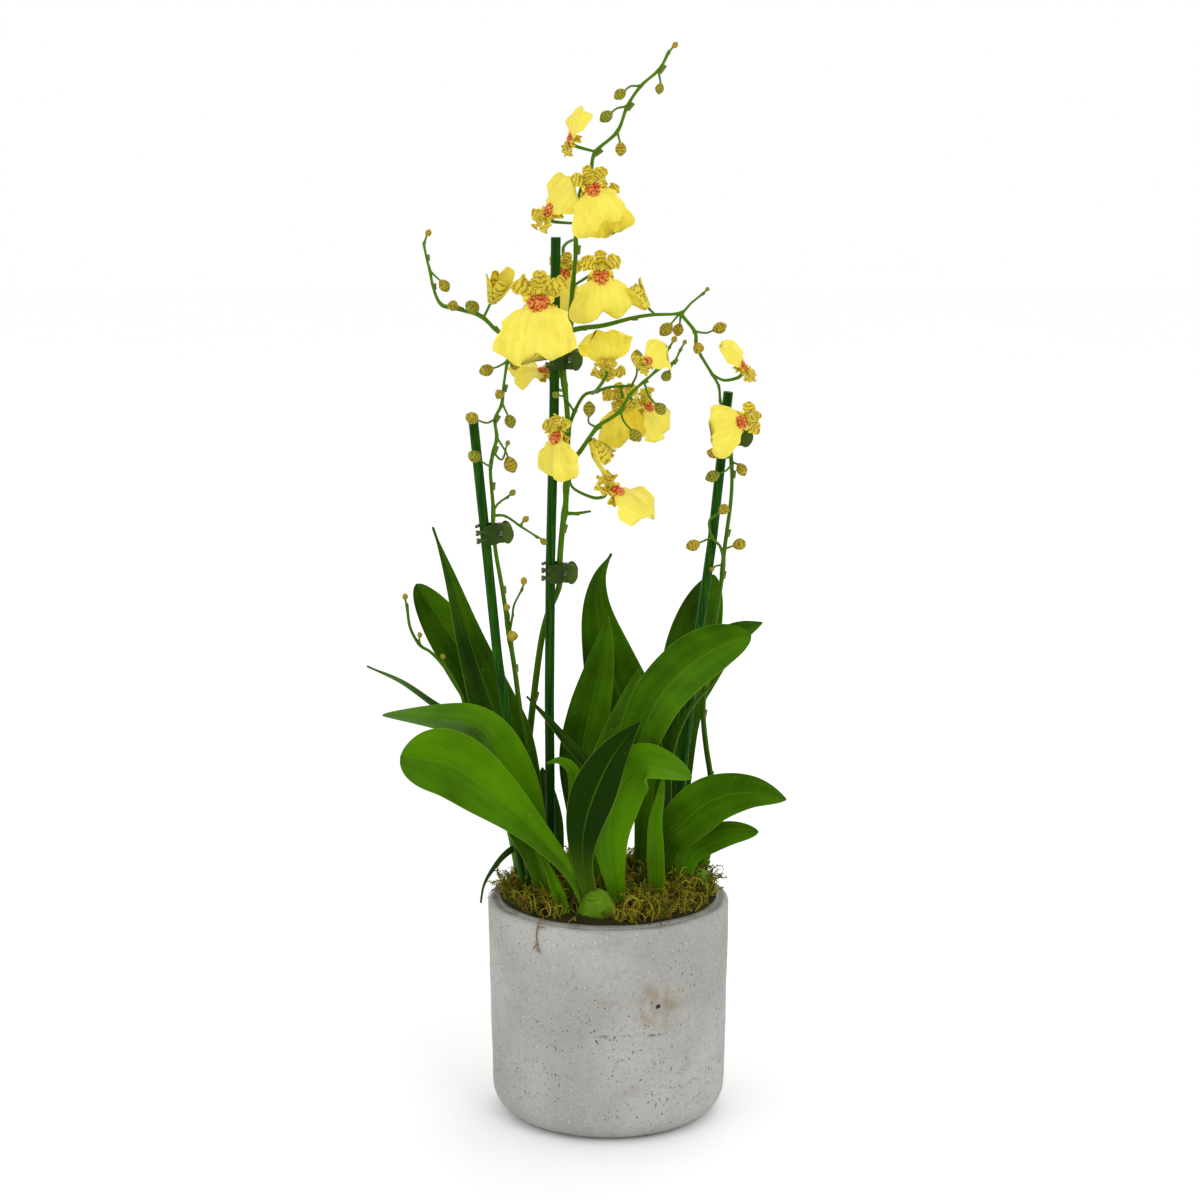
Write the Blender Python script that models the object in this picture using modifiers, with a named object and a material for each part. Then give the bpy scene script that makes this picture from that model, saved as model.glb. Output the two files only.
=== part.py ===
"""An oncidium orchid in a cast concrete pot, with canes, claw clips, leaves, flower sprays and blooms.

The driving dimensions and every route are in millimetres. The origin is the centre of the pot's
underside, +Z is up and -Y is the side that the display plant is seen from.
"""

import math

import bmesh
import bpy
from mathutils import Matrix, Vector, noise

MM = 0.001
GAP = 0.3
SHARP_FROM = math.radians(40)

# Pot
POT_HEIGHT = 139.0
POT_RADIUS = 76.0
POT_FOOT_RADIUS = 73.6
POT_FOOT_FILLET = 18.0
POT_WALL = 8.0
POT_FLOOR = 10.0
POT_SIDES = 36
FILLET_STEPS = 3

# Growing medium and moss
MEDIUM_TOP = 118.0
MOSS_EDGE = 141.0
MOSS_CROWN = 5.0
MOSS_RINGS = 4
MOSS_LUMP = 3.0
MOSS_MOUND = ((50.0, 8.0), 7.0, 20.0)
ROOTED_TO = 127.0
HOLE_TOP = 158.0
HOLE_MARGIN = 0.5

# Canes: each centre line from its foot to its cut top
CANE_RADIUS = 3.0
CANE_BEVEL = 3
CANES = {
    "left": ((-29.5, -4.2, 16), (-47, -10, 142), (-60, -13.8, 236), (-68.2, -16, 294),
             (-75.1, -18, 370), (-82, -20, 444)),
    "middle": ((-36, 15, 16), (-36.6, 12, 142), (-37, 8, 263), (-36, 5.5, 353), (-33.5, 2, 441),
               (-32, 0, 552)),
    "right": ((28, 24.5, 16), (41, 20.5, 142), (48, 18, 226), (57, 14.5, 307), (64.4, 12, 364),
              (73.5, 10, 457)),
}

# Leaves
LEAF_THICKNESS = 1.2
LEAF_ACROSS = 4
LEAF_ALONG = 7
NARROW_LEAF = 13.0
NARROW_ACROSS = 2
LEAF_TIP = 0.9
ROW_CROWDING = 1.4
FOOT_SLIMNESS = 1.5

# Blooms, at size 1
PETAL_THICKNESS = 0.8
LIP_LENGTH = 33.0
LIP_HALF_WIDTHS = (6.0, 5.2, 16.0, 19.0, 11.5)
LIP_ROWS = (0.0, 0.15, 0.38, 0.76, 1.0)
LIP_ACROSS = 4
RECEPTACLE = 3.0

# Claw clips
JAW_THICKNESS = 1.2
JAW_HEIGHT = 12.0
PIN_X = 10.0
PIN_RADIUS = 0.8
KNUCKLE_RADIUS = 1.7
KNUCKLE_BORE = 1.1
PRONG_HEIGHT = 2.0
CLIP_SIDES = 8


# Each leaf: route from base to tip, widest full width, where it is widest (0 base, 1 tip),
# width at the base, depth of the channel as a share of the half width, how round the tip is
# (0 drawn out, 1 round), and the way its upper side faces at the base and at the tip.
LEAVES = {
    "leaf_left_folded": (
        ((-38, -24, 140), (-46, -28, 176), (-58, -31, 213), (-70, -34, 243), (-83, -38, 258),
         (-106, -41, 263), (-138, -40, 265)),
        34, 0.5, 9, 0.22, 0.9, (0.2, -1, 0), (0, -0.22, 0.97)),
    "leaf_left_edge": (
        ((-57, 7, 140), (-63, 8, 177), (-76, 8, 224), (-92, 8, 247), (-111, 8, 261),
         (-130, 8, 275), (-151, 8, 285)),
        12, 0.55, 7, 0.3, 0.4, (0.9, 0.2, 0.4), (0.35, -0.35, 0.85)),
    "leaf_left_tall": (
        ((-36, 3, 138), (-46, 1, 178), (-60, 1, 223), (-74, 4, 264), (-87, 8, 302),
         (-98, 10, 339), (-109, 10, 373)),
        36, 0.48, 9, 0.25, -0.2, (0.2, -1, 0), (0.6, -0.8, 0.2)),
    "leaf_left_back": (
        ((-34, 44, 137), (-45, 41, 187), (-66, 36, 240), (-86, 34, 277), (-104, 32, 306),
         (-121, 30, 333)),
        31, 0.7, 9, 0.2, 1, (0, -1, 0.1), (-0.1, -1, 0.2)),
    "leaf_centre_tall": (
        ((28, 30, 141), (24, 33, 192), (13, 35, 241), (1, 35, 280), (-7, 33, 313), (-6, 31, 336),
         (2, 28, 353)),
        42, 0.56, 10, 0.2, 0, (0.1, -1, 0), (0.1, -1, 0.1)),
    "leaf_centre_mid": (
        ((-16, 19, 141), (-17, 18, 190), (-17, 17, 222), (-12, 17, 253), (-5, 16, 284),
         (0, 14, 315)),
        29, 0.55, 9, 0.2, 0.5, (-0.1, -1, 0), (-0.2, -1, 0.1)),
    "leaf_centre_slim": (
        ((-9, -12, 141), (-12, -12, 188), (-7, -12, 220), (3, -12, 246), (12, -12, 268),
         (20, -12, 289)),
        16, 0.66, 7, 0.25, 0.6, (0.2, -1, 0), (0.3, -1, 0.1)),
    "leaf_right_high": (
        ((0, -28, 141), (2, -30, 186), (9, -33, 222), (21, -37, 255), (32, -41, 278),
         (49, -45, 297), (67, -47, 309), (86, -47, 316)),
        35, 0.82, 9, 0.25, 0.9, (-0.1, -1, 0), (-0.3, -0.8, 0.6)),
    "leaf_front_curl": (
        ((7, -38, 139), (2, -41, 172), (1, -44, 197), (8, -48, 223), (21, -53, 237),
         (35, -60, 237), (50, -66, 232)),
        31, 0.6, 9, 0.2, 0.9, (0, -1, 0), (0.5, -0.7, 0.7)),
    "leaf_front_strap": (
        ((30, -24, 141), (29, -26, 176), (29, -27, 195), (32, -28, 211), (34, -28, 226)),
        11, 0.4, 8, 0.25, 0.5, (0, -1, 0), (0.1, -1, 0.1)),
    "leaf_right_broad": (
        ((33, -3, 141), (35, -11, 174), (46, -17, 190), (64, -21, 206), (87, -24, 212),
         (110, -26, 208)),
        31, 0.6, 8, 0.25, 0.6, (0.1, -1, 0.1), (-0.1, -0.9, 0.6)),
    "leaf_right_low": (
        ((46, -12, 141), (49, -4, 162), (57, -1, 172), (75, -4, 180), (94, -7, 182)),
        18, 0.6, 7, 0.2, 0.9, (0.1, -1, 0), (0, -0.9, 0.5)),
    "leaf_right_sheath": (
        ((56, 14, 139), (59, 15, 156), (63, 17, 167), (67, 18, 181)),
        10, 0.4, 8, 0.35, 0.6, (0.2, -1, 0), (0.2, -1, 0.1)),
    "leaf_back_right": (
        ((43, 43, 139), (45, 44, 196), (45, 46, 241), (51, 48, 280), (59, 48, 311), (67, 46, 336)),
        34, 0.74, 8, 0.2, 0.9, (0.1, -1, 0), (0.1, -1, 0.1)),
    "leaf_back_far": (
        ((22, 54, 139), (28, 57, 192), (44, 60, 245), (63, 62, 277), (82, 62, 294), (99, 61, 302)),
        29, 0.7, 7, 0.2, 0.5, (0.1, -1, 0), (-0.1, -1, 0.4)),
    "leaf_right_blade": (
        ((39, 6, 141), (38, 5, 200), (40, 3, 231), (50, 2, 257), (66, 0, 277)),
        12, 0.5, 7, 0.3, 0.1, (-0.8, -0.5, 0), (-0.8, -0.3, 0.5)),
    "leaf_small_round": (
        ((19, 9, 141), (22, 12, 194), (25, 12, 224), (26, 12, 243)),
        12, 0.75, 6, 0.25, 1, (0, -1, 0), (0, -1, 0.2)),
    "leaf_left_short": (
        ((-23, -24, 141), (-20, -24, 198), (-21, -24, 223), (-29, -24, 232), (-38, -25, 231)),
        10, 0.7, 6, 0.25, 0.6, (0, -1, 0), (0, -0.8, 0.6)),
    "leaf_left_dark": (
        ((-1, 5, 141), (-5, 0, 201), (-14, -2, 224), (-27, -4, 240), (-39, -4, 255),
         (-51, -2, 268)),
        10, 0.6, 6, 0.25, 0.5, (0.5, -0.8, 0), (0.6, -0.4, 0.7)),
    "leaf_shade_broad": (
        ((-31, 31, 138), (-36, 31, 163), (-40, 31, 189), (-42, 30, 214)),
        19, 0.6, 8, 0.2, 0.6, (0, -1, 0), (0, -1, 0.1)),
    "leaf_strap_over_rim": (
        ((-53, -4, 139), (-54, -4, 162), (-58, -7, 171), (-65, -11, 168), (-73, -15, 159),
         (-78, -17, 150), (-80, -18, 139)),
        4.6, 0.5, 4, 0.2, 0.3, (0.5, -0.8, 0), (-0.6, -0.4, 0.7)),
    "leaf_front_sprout": (
        ((-26, -51, 138), (-31, -49, 154), (-37, -46, 169), (-43, -43, 180)),
        8, 0.45, 6, 0.3, 0.3, (0, -1, 0), (0.2, -1, 0.1)),
}

FRONT_GROWTH_LEAVES = {
    "low": (
        ((-14, -49, 147), (-18, -50, 158), (-27, -54, 174), (-48, -58, 199), (-72, -62, 222),
         (-97, -64, 240), (-126, -60, 244)),
        43, 0.82, 9, 0.2, 1, (0.5, -0.8, 0.4), (0.1, -1, 0.75)),
    "upright": (
        ((-8, -49, 147), (-12, -50, 158), (-16, -52, 180), (-13, -55, 206), (-3, -57, 233),
         (7, -56, 250), (19, -54, 264)),
        28, 0.6, 9, 0.5, 0.3, (-0.1, -1, 0), (-0.3, -1, 0.2)),
}

# Each pseudobulb: centre and half sizes
BULBS = {
    "front": ((-7, -50, 140), (12, 9, 18)),
    "pseudobulb_centre": ((-17, 2, 144), (10, 7, 22)),
    "pseudobulb_right": ((58, 1, 139), (8, 6, 17)),
}
BULB_SIDES = 10
BULB_RINGS = 6

# Each spray: stems as route, radius at the start and radius at the end
SPRAYS = {
    "spray_tall": (
        (((-51, 18, 127), (-52, 18, 176), (-51, 18, 222), (-47, 17, 263), (-42, 15, 300),
          (-37.5, 14.5, 318), (-32.5, 12, 330), (-30.4, 7, 338), (-30.2, 6, 352), (-28.6, 4.5, 372),
          (-26.5, 1, 388), (-26, 0, 402), (-25, 2, 438), (-27.2, 2.4, 466), (-27.2, 2, 487),
          (-24.5, 4.5, 498), (-22, 8, 520), (-20, 6, 543), (-20, 5, 564), (-17, 8, 580),
          (-11, 8, 592), (-8, 4, 603), (5, 0, 615), (11, -2, 630), (19, -4, 642), (30, -6, 652),
          (36, -8, 663)), 2.6, 0.8),
        (((-26, 3, 462), (-30, 12.5, 471), (-38, 13.5, 481), (-48, 8, 487), (-60, 2, 491), (-68, -4, 496),
          (-77, -8, 505), (-89, -10, 509), (-101, -8, 512), (-106, -6, 522), (-108, -4, 532),
          (-110, -2, 539), (-112, 0, 549)), 1.8, 0.7),
        (((-24, 5, 494), (-16, 2, 497), (-3, -2, 499), (15, -6, 504), (27, -8, 506), (43, -8, 507),
          (50, -6, 513), (58, -2, 519)), 1.7, 0.6),
        (((43, -8, 507), (52, -8, 496), (53, -8, 488), (56, -6, 481), (62, -4, 471), (67, 0, 462),
          (68, -4, 453)), 1.1, 0.8),
        (((-26, 0, 399), (-23, -8, 415), (-17, -14, 424), (-7, -20, 439), (1, -24, 445),
          (7, -26, 450), (13, -28, 460), (21, -30, 468), (31, -30, 476), (39, -30, 480),
          (43, -26, 487)), 1.7, 0.6),
        (((-24, 2, 434), (-21, 6, 445), (-15, 9, 455), (-8, 10, 457), (0, 8, 460), (7, 4, 461),
          (14, 0, 462)), 1.2, 0.8),
        (((-26, 0, 382), (-20, 0, 383), (-11, 2, 384)), 1.3, 0.7),
        (((21, -30, 468), (26, -34, 473), (31, -38, 480), (36, -40, 490)), 0.9, 0.6),
    ),
    "spray_left": (
        (((-40, -4, 127), (-46, -4, 202), (-54, -8, 254), (-58, -11, 287), (-61, -13, 308),
          (-65, -14.6, 337), (-68.9, -17, 361), (-70.4, -17.6, 378), (-70.4, -15.5, 389),
          (-71.5, -12, 401), (-72, -13, 413),
          (-70, -14, 424), (-68, -14, 432), (-69, -13, 443), (-65, -12, 452), (-64, -11, 461),
          (-62, -10, 475), (-61, -10, 480)), 2.2, 0.8),
        (((-69.3, -15, 384), (-63, -16, 384), (-54, -17, 378), (-43, -18, 371)), 0.9, 0.6),
        (((-69.5, -15, 387), (-67, -15, 392), (-61, -15, 396)), 0.8, 0.6),
        (((-61, -13, 310), (-59, -17, 322), (-58, -18, 329), (-53, -18, 339)), 0.9, 0.6),
    ),
    "spray_right": (
        (((56, 26, 127), (63, 28, 160), (65, 28, 193), (65, 27, 209), (62, 26, 229), (60, 25, 250),
          (61, 24, 269), (65, 23, 298), (69, 22, 324), (71, 20, 340), (72, 19, 354), (73.5, 18, 367),
          (76, 17.5, 388), (76.5, 16.5, 404), (75.5, 14.5, 420), (75.2, 13.4, 430), (76, 13.5, 440)),
         2.2, 1.0),
        (((71, 20, 343), (71, 14, 354), (69, 10, 361), (64, 6, 367), (62, 5, 377), (66, 5, 381)),
         1.0, 0.7),
    ),
    "spray_young": (
        (((-48, -17, 127), (-54, -19, 156), (-64, -18, 204), (-78, -14, 236), (-88, -14, 261),
          (-91, -12, 271), (-99, -8, 285), (-110, -3, 296), (-117, 0, 300), (-123, 0, 311),
          (-125, 0, 326)), 1.6, 0.9),
    ),
}
ROUND_STEM_OVER = 2.3
PEDICEL_RADIUS = 0.7
LONG_STALK = 11.0

# Each bud: where its stalk leaves the stem, where the stalk bends, where it ends, bud half length
BUDS = {
    "spray_tall": (
        ((5, 0, 615), (7, -1, 612), (7, -2, 608), 4.6),
        ((11, -2, 630), (5, -3, 629), (1, -4, 626), 4.8),
        ((19, -4, 642), (13, -5, 642), (9, -6, 639), 4.4),
        ((30, -6, 651), (32, -6, 647), (31, -6, 643), 3.6),
        ((35, -8, 661), (37, -8, 664), (38, -8, 665), 2.4),
        ((-108, -4, 532), (-104, -7, 530), (-101, -9, 526), 4.6),
        ((-101, -8, 511), (-98, -11, 512), (-96, -13, 512), 4.4),
        ((-77, -8, 505), (-78, -11, 507), (-80, -13, 509), 5.6),
        ((-112, 0, 548), (-111, 1, 551), (-110, 2, 553), 2.6),
        ((43, -8, 507), (40, -10, 503), (37, -11, 500), 5.2),
        ((43, -8, 506), (44, -5, 503), (43, -3, 499), 4.6),
        ((52, -8, 496), (59, -8, 495), (64, -8, 497), 4.8),
        ((54, -7, 490), (54, -10, 489), (54, -12, 488), 4.6),
        ((57, -3, 518), (58, -2, 519), (59, -1, 520), 1.8),
        ((-7, -20, 439), (-12, -22, 442), (-12, -22, 447), 5.0),
        ((14, 0, 462), (17, -2, 469), (17, -2, 476), 5.0),
        ((22, -30, 467), (24, -26, 459), (29, -23, 453), 4.8),
        ((39, -30, 479), (38, -28, 476), (36, -26, 473), 4.2),
        ((7, -26, 450), (9, -29, 444), (14, -29, 438), 4.8),
        ((-21, 6, 445), (-27, -2, 455), (-31, -8, 457), 3.0),
        ((36, -40, 489), (37, -40, 491), (38, -40, 493), 2.4),
        ((43, -26, 486), (44, -25, 488), (45, -24, 490), 1.8),
    ),
    "spray_left": (
        ((-62, -10, 476), (-57, -8, 483), (-57, -6, 479), 4.8),
        ((-62, -10, 478), (-67, -12, 475), (-71, -14, 474), 5.0),
        ((-64, -11, 458), (-66, -14, 459), (-66, -16, 459), 4.0),
        ((-65, -12, 453), (-62, -10, 447), (-61, -9, 444), 4.8),
        ((-69, -13, 443), (-74, -22, 442), (-80, -28, 445), 5.0),
        ((-72, -13, 416), (-73, -22, 416), (-79, -28, 421), 5.0),
        ((-68, -14, 432), (-63, -14, 424), (-61, -14, 419), 5.6),
        ((-70, -14, 423), (-65, -12, 418), (-62, -12, 427), 2.0),
        ((-54, -17, 378), (-53, -17, 380), (-52, -17, 381), 2.6),
        ((-44, -18, 372), (-42, -18, 371), (-41, -18, 370), 2.8),
        ((-62, -15, 395), (-61, -15, 396), (-60, -15, 397), 2.6),
        ((-61, -13, 316), (-61, -19, 322), (-62, -22, 327), 2.8),
        ((-53, -18, 338), (-52, -18, 340), (-52, -18, 342), 2.8),
        ((-61, -12, 306), (-59, -17, 308), (-59, -19, 309), 4.6),
    ),
    "spray_right": (
        ((76, 15, 418), (73, 3, 417), (67, 2, 419), 4.4),
        ((76, 16, 411), (72, 3, 409), (67, 2, 407), 5.0),
        ((76, 16, 413), (80, 14, 413), (81, 13, 411), 4.6),
        ((64, 6, 367), (59, 3, 365), (55, 1, 364), 5.0),
        ((70, 12, 358), (75, 8, 361), (78, 6, 362), 5.0),
        ((71, 19, 347), (67, 12, 348), (65, 9, 347), 2.2),
        ((65, 4, 380), (67, 2, 382), (69, 0, 384), 4.4),
    ),
    "spray_young": (
        ((-125, 0, 325), (-126, 0, 327), (-126, 0, 329), 2.4),
        ((-118, 0, 301), (-117, -2, 304), (-117, -3, 306), 2.2),
        ((-102, -3, 288), (-101, -5, 291), (-102, -6, 293), 2.2),
    ),
}
BUD_SIDES = 5
BUD_RINGS = 3
BUD_SWELL = 1.15
BUD_SLIMNESS = 0.78

# Each bloom: centre, the way that it faces, the way that its lip hangs, and size
BLOOMS = {
    "bloom_top": ((-22, 6, 607), (-0.85, -0.3, 0.3), (0.4, 0, 0.9), 0.72),
    "bloom_upper_front": ((-11, -14, 585), (0.1, -1, 0.15), (0.3, -0.25, -0.9), 0.9),
    "bloom_upper_side": ((-37, 0, 564), (-0.6, -0.6, 0.45), (0.7, -0.05, 0.72), 0.85),
    "bloom_upper_back": ((-3, 30, 575), (0.3, 0.9, 0.1), (0.2, 0.1, -0.95), 0.8),
    "bloom_heart": ((-5, -16, 534), (0.1, -1, 0.1), (0.05, -0.15, -1), 0.98),
    "bloom_behind_cane": ((-27, 30, 531), (-0.1, -1, 0.1), (-0.3, -0.1, -1), 0.85),
    "bloom_largest": ((-41, -36, 519), (-0.1, -0.85, 0.45), (-0.05, -0.5, -0.85), 1.28),
    "bloom_below_clip": ((-36, 22, 467), (-0.1, -0.4, 0.9), (-0.97, -0.1, -0.2), 0.8),
    "bloom_turned": ((-1, -22, 474), (0.1, 0.75, 0.45), (0, 0.35, 0.9), 0.85),
    "bloom_twig": ((20, -54, 481), (0.3, -0.7, 0.6), (0.6, -0.3, 0.6), 0.6),
    "bloom_hanging": ((8, 20, 452), (-0.1, 0.9, -0.3), (0.15, -0.1, -0.95), 0.9),
    "bloom_right_lip": ((21, -9, 453), (0.65, -0.6, 0.2), (0.6, 0, -0.8), 0.75),
    "bloom_on_cane": ((-30, -16, 436), (-0.72, -0.66, 0.12), (0.15, -0.1, -1), 0.9),
    "bloom_lowest": ((0, -22, 401), (0.5, -0.45, 0.7), (0.85, -0.1, -0.52), 0.95),
    "bloom_right_opening": ((82, -10, 471), (0.6, -0.3, 0.5), (-0.5, 0, 0.85), 0.7),
    "bloom_right_cane": ((83, -14, 443), (0.3, -1, 0.1), (-0.95, 0, -0.3), 0.82),
}

# Each flower stalk: the spray, its start on the stem, points on the way, and its bloom
PEDICELS = (
    ("spray_tall", ((-8, 4, 603),), "bloom_top"),
    ("spray_tall", ((-11, 8, 592),), "bloom_upper_front"),
    ("spray_tall", ((-20, 6, 560),), "bloom_upper_side"),
    ("spray_tall", ((-20, 5, 558), (-14, 12, 562)), "bloom_upper_back"),
    ("spray_tall", ((-22, 8, 522),), "bloom_heart"),
    ("spray_tall", ((-20, 6, 546), (-21, 22, 549), (-28, 40, 543)), "bloom_behind_cane"),
    ("spray_tall", ((-48, 7, 487), (-45, -8, 496)), "bloom_largest"),
    ("spray_tall", ((-26, 2, 460), (-30, 18, 457)), "bloom_below_clip"),
    ("spray_tall", ((-8, 10, 457), (-10, -8, 458), (-6, -26, 464)), "bloom_turned"),
    ("spray_tall", ((31, -38, 480),), "bloom_twig"),
    ("spray_tall", ((7, 4, 461),), "bloom_hanging"),
    ("spray_tall", ((13, -28, 460), (12, -16, 458)), "bloom_right_lip"),
    ("spray_tall", ((-25, 2, 436),), "bloom_on_cane"),
    ("spray_tall", ((-24, -5, 409), (-22, -12, 401), (-10, -19, 396)), "bloom_lowest"),
    ("spray_tall", ((63, -3, 469), (70, -6, 466)), "bloom_right_opening"),
    ("spray_tall", ((68, -4, 453), (71, -4, 447)), "bloom_right_cane"),
)

# Flowers about to open: where the stalk leaves the stem, its end, half sizes of the flower
OPENING = {
    "spray_tall": (
        ((-76, -7, 504), (-70, -13, 516), (5.5, 4.5, 9)),
        ((28, -8, 506), (22, -8, 512), (5, 4.5, 8)),
        ((-12, -17, 433), (-9, -17, 429), (5.5, 5, 8)),
    ),
}

# Each clip: the cane and height it is on, the way its tabs point, and whether its loose jaw is
# on the side that faces the viewer
CLIPS = {
    "left": ("left", 373, (1, 0.1, 0), True),
    "middle_low": ("middle", 345, (1, 0, 0), True),
    "middle_high": ("middle", 478, (1, 0, 0), True),
    "right": ("right", 430, (1, 0.45, 0), True),
}


def clear_scene():
    for old in list(bpy.data.objects):
        bpy.data.objects.remove(old, do_unlink=True)


def finish(name, colour, roughness, metallic=0.0):
    """A plain Principled material."""
    made = bpy.data.materials.new(name)
    made.use_nodes = True
    shader = made.node_tree.nodes["Principled BSDF"]
    shader.inputs["Base Color"].default_value = (*colour, 1)
    shader.inputs["Roughness"].default_value = roughness
    shader.inputs["Metallic"].default_value = metallic
    return made


def new_object(name, mesh, group):
    made = bpy.data.objects.new(name, mesh)
    group.objects.link(made)
    return made


def metres(point):
    return Vector(point) * MM


def discard(obj):
    data = obj.data
    bpy.data.objects.remove(obj, do_unlink=True)
    if isinstance(data, bpy.types.Mesh) and data.users == 0:
        bpy.data.meshes.remove(data)


def settled(obj):
    """A plain mesh of the object as its modifiers leave it, with doubles merged, in world space."""
    bpy.context.view_layer.update()
    graph = bpy.context.evaluated_depsgraph_get()
    mesh = bpy.data.meshes.new_from_object(obj.evaluated_get(graph))
    mesh.transform(obj.matrix_world)
    work = bmesh.new()
    work.from_mesh(mesh)
    bmesh.ops.remove_doubles(work, verts=work.verts, dist=0.005 * MM)
    bmesh.ops.recalc_face_normals(work, faces=work.faces)
    work.to_mesh(mesh)
    work.free()
    return mesh


def curve_through(points, count):
    """Points spaced evenly along a smooth curve through the given ones."""
    knots = [Vector(p) for p in points]
    ends = [2 * knots[0] - knots[1], *knots, 2 * knots[-1] - knots[-2]]
    fine = []
    for before, start, stop, after in zip(ends, ends[1:], ends[2:], ends[3:]):
        for step in range(8):
            t = step / 8
            fine.append(0.5 * (2 * start + (stop - before) * t
                               + (2 * before - 5 * start + 4 * stop - after) * t * t
                               + (3 * start - before - 3 * stop + after) * t ** 3))
    fine.append(knots[-1])
    lengths = [0.0]
    for a, b in zip(fine, fine[1:]):
        lengths.append(lengths[-1] + (b - a).length)
    spaced, leg = [], 0
    for step in range(count):
        wanted = lengths[-1] * step / (count - 1)
        while leg < len(fine) - 2 and lengths[leg + 1] < wanted:
            leg += 1
        span = max(lengths[leg + 1] - lengths[leg], 1e-9)
        spaced.append(fine[leg].lerp(fine[leg + 1], (wanted - lengths[leg]) / span))
    return spaced


def tube(name, points, start_radius, end_radius, sides_setting, group):
    """A stem with filled ends along the points, tapering from one radius to the other."""
    curve = bpy.data.curves.new(name, "CURVE")
    curve.dimensions = "3D"
    curve.bevel_depth = MM
    curve.bevel_resolution = sides_setting
    curve.use_fill_caps = True
    spline = curve.splines.new("POLY")
    spline.points.add(len(points) - 1)
    for index, point in enumerate(points):
        share = index / (len(points) - 1)
        spline.points[index].co = (*metres(point), 1)
        spline.points[index].radius = start_radius + (end_radius - start_radius) * share
    drawn = new_object(name, curve, group)
    mesh = settled(drawn)
    bpy.data.objects.remove(drawn, do_unlink=True)
    bpy.data.curves.remove(curve)
    return new_object(name, mesh, group)


def ellipsoid(name, centre, half_sizes, axis, sides, rings, group):
    """A ball with its poles on the axis, stretched to the half sizes."""
    work = bmesh.new()
    bmesh.ops.create_uvsphere(work, u_segments=sides, v_segments=rings, radius=1)
    turn = Vector(axis).to_track_quat("Z", "Y").to_matrix().to_4x4()
    place = Matrix.Translation(metres(centre)) @ turn @ Matrix.Diagonal((*metres(half_sizes), 1))
    bmesh.ops.transform(work, matrix=place, verts=work.verts)
    mesh = bpy.data.meshes.new(name)
    work.to_mesh(mesh)
    work.free()
    return new_object(name, mesh, group)


def blade(name, place, across, along, thickness, group):
    """A thin sheet: place(u, v) gives its middle surface, u from -1 to 1 and v from 0 to 1."""
    work = bmesh.new()
    bmesh.ops.create_grid(work, x_segments=across, y_segments=along, size=1)
    for vert in work.verts:
        vert.co = metres(place(vert.co.x, (vert.co.y + 1) / 2))
    mesh = bpy.data.meshes.new(name)
    work.to_mesh(mesh)
    work.free()
    made = new_object(name, mesh, group)
    shell = made.modifiers.new("Blade thickness", "SOLIDIFY")
    shell.thickness = thickness * MM
    shell.offset = 0
    return made


def drop_slivers(mesh):
    """Keeps only the largest connected part: a union can leave a speck where edges touch."""
    work = bmesh.new()
    work.from_mesh(mesh)
    waiting, islands = set(work.verts), []
    while waiting:
        island, edge = set(), [waiting.pop()]
        while edge:
            vert = edge.pop()
            island.add(vert)
            for other in (e.other_vert(vert) for e in vert.link_edges):
                if other in waiting:
                    waiting.discard(other)
                    edge.append(other)
        islands.append(island)
    islands.sort(key=len)
    for island in islands[:-1]:
        if len(island) < 12:
            bmesh.ops.delete(work, geom=list(island), context="VERTS")
    work.to_mesh(mesh)
    work.free()


def fuse(name, pieces, group):
    """One solid from overlapping pieces, which are then removed."""
    others = bpy.data.collections.new(name + "_pieces")
    bpy.context.scene.collection.children.link(others)
    first = pieces[0]
    for piece in pieces[1:]:
        solid = new_object(piece.name, settled(piece), others)
        discard(piece)
        solid.hide_render = True
    body = new_object(name, settled(first), group)
    discard(first)
    if others.objects:
        join = body.modifiers.new("Grown together", "BOOLEAN")
        join.operation = "UNION"
        join.operand_type = "COLLECTION"
        join.collection = others
        join.solver = "MANIFOLD"
        joined = settled(body)
        body.modifiers.remove(join)
        drop_slivers(joined)
        body.data = joined
    for solid in list(others.objects):
        discard(solid)
    bpy.data.collections.remove(others)
    return body


def eased(share):
    share = min(max(share, 0.0), 1.0)
    return share * share * (3 - 2 * share)


def leaf_half_width(v, widest, at, base, roundness):
    """Half the leaf's width at v: a narrow foot, a broad blade and a round or drawn-out tip."""
    if v < at:
        return (base + (widest - base) * eased(v / at) ** FOOT_SLIMNESS) / 2
    beyond = (v - at) / (1 - at)
    kept = (1 - beyond ** (1.3 + 0.9 * roundness)) ** (1.05 - 0.5 * roundness)
    return max(widest / 2 * kept, LEAF_TIP)


def leaf(name, route, widest, at, base, channel, roundness, faces_base, faces_tip, group):
    """A strap leaf, channelled along its midrib, over its route."""
    steps = 12 * LEAF_ALONG
    spine = curve_through(route, steps + 1)

    def place(u, row):
        v = 1 - (1 - row) ** ROW_CROWDING
        index = min(round(v * steps), steps)
        before = spine[max(index - 3, 0)]
        after = spine[min(index + 3, steps)]
        along = (after - before).normalized()
        faces = Vector(faces_base).lerp(Vector(faces_tip), v)
        side = along.cross(faces).normalized()
        up = side.cross(along).normalized()
        half = leaf_half_width(v, widest, at, base, roundness)
        lift = channel * half * (1 - 0.5 * v) * (abs(u) ** 1.5)
        return spine[index] + side * u * half + up * lift

    across = LEAF_ACROSS if widest > NARROW_LEAF else NARROW_ACROSS
    return blade(name, place, across, LEAF_ALONG, LEAF_THICKNESS, group)


def rooted(route):
    """The route with its foot carried straight down into the moss."""
    x, y, _ = route[0]
    return ((x, y, ROOTED_TO), *route)


def make_leaves(group):
    made = []
    for name, (route, *shape) in LEAVES.items():
        whole = leaf(name, rooted(route), *shape, group)
        solid = new_object(name + "_solid", settled(whole), group)
        discard(whole)
        solid.name = name
        made.append(solid)
    return made


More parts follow.
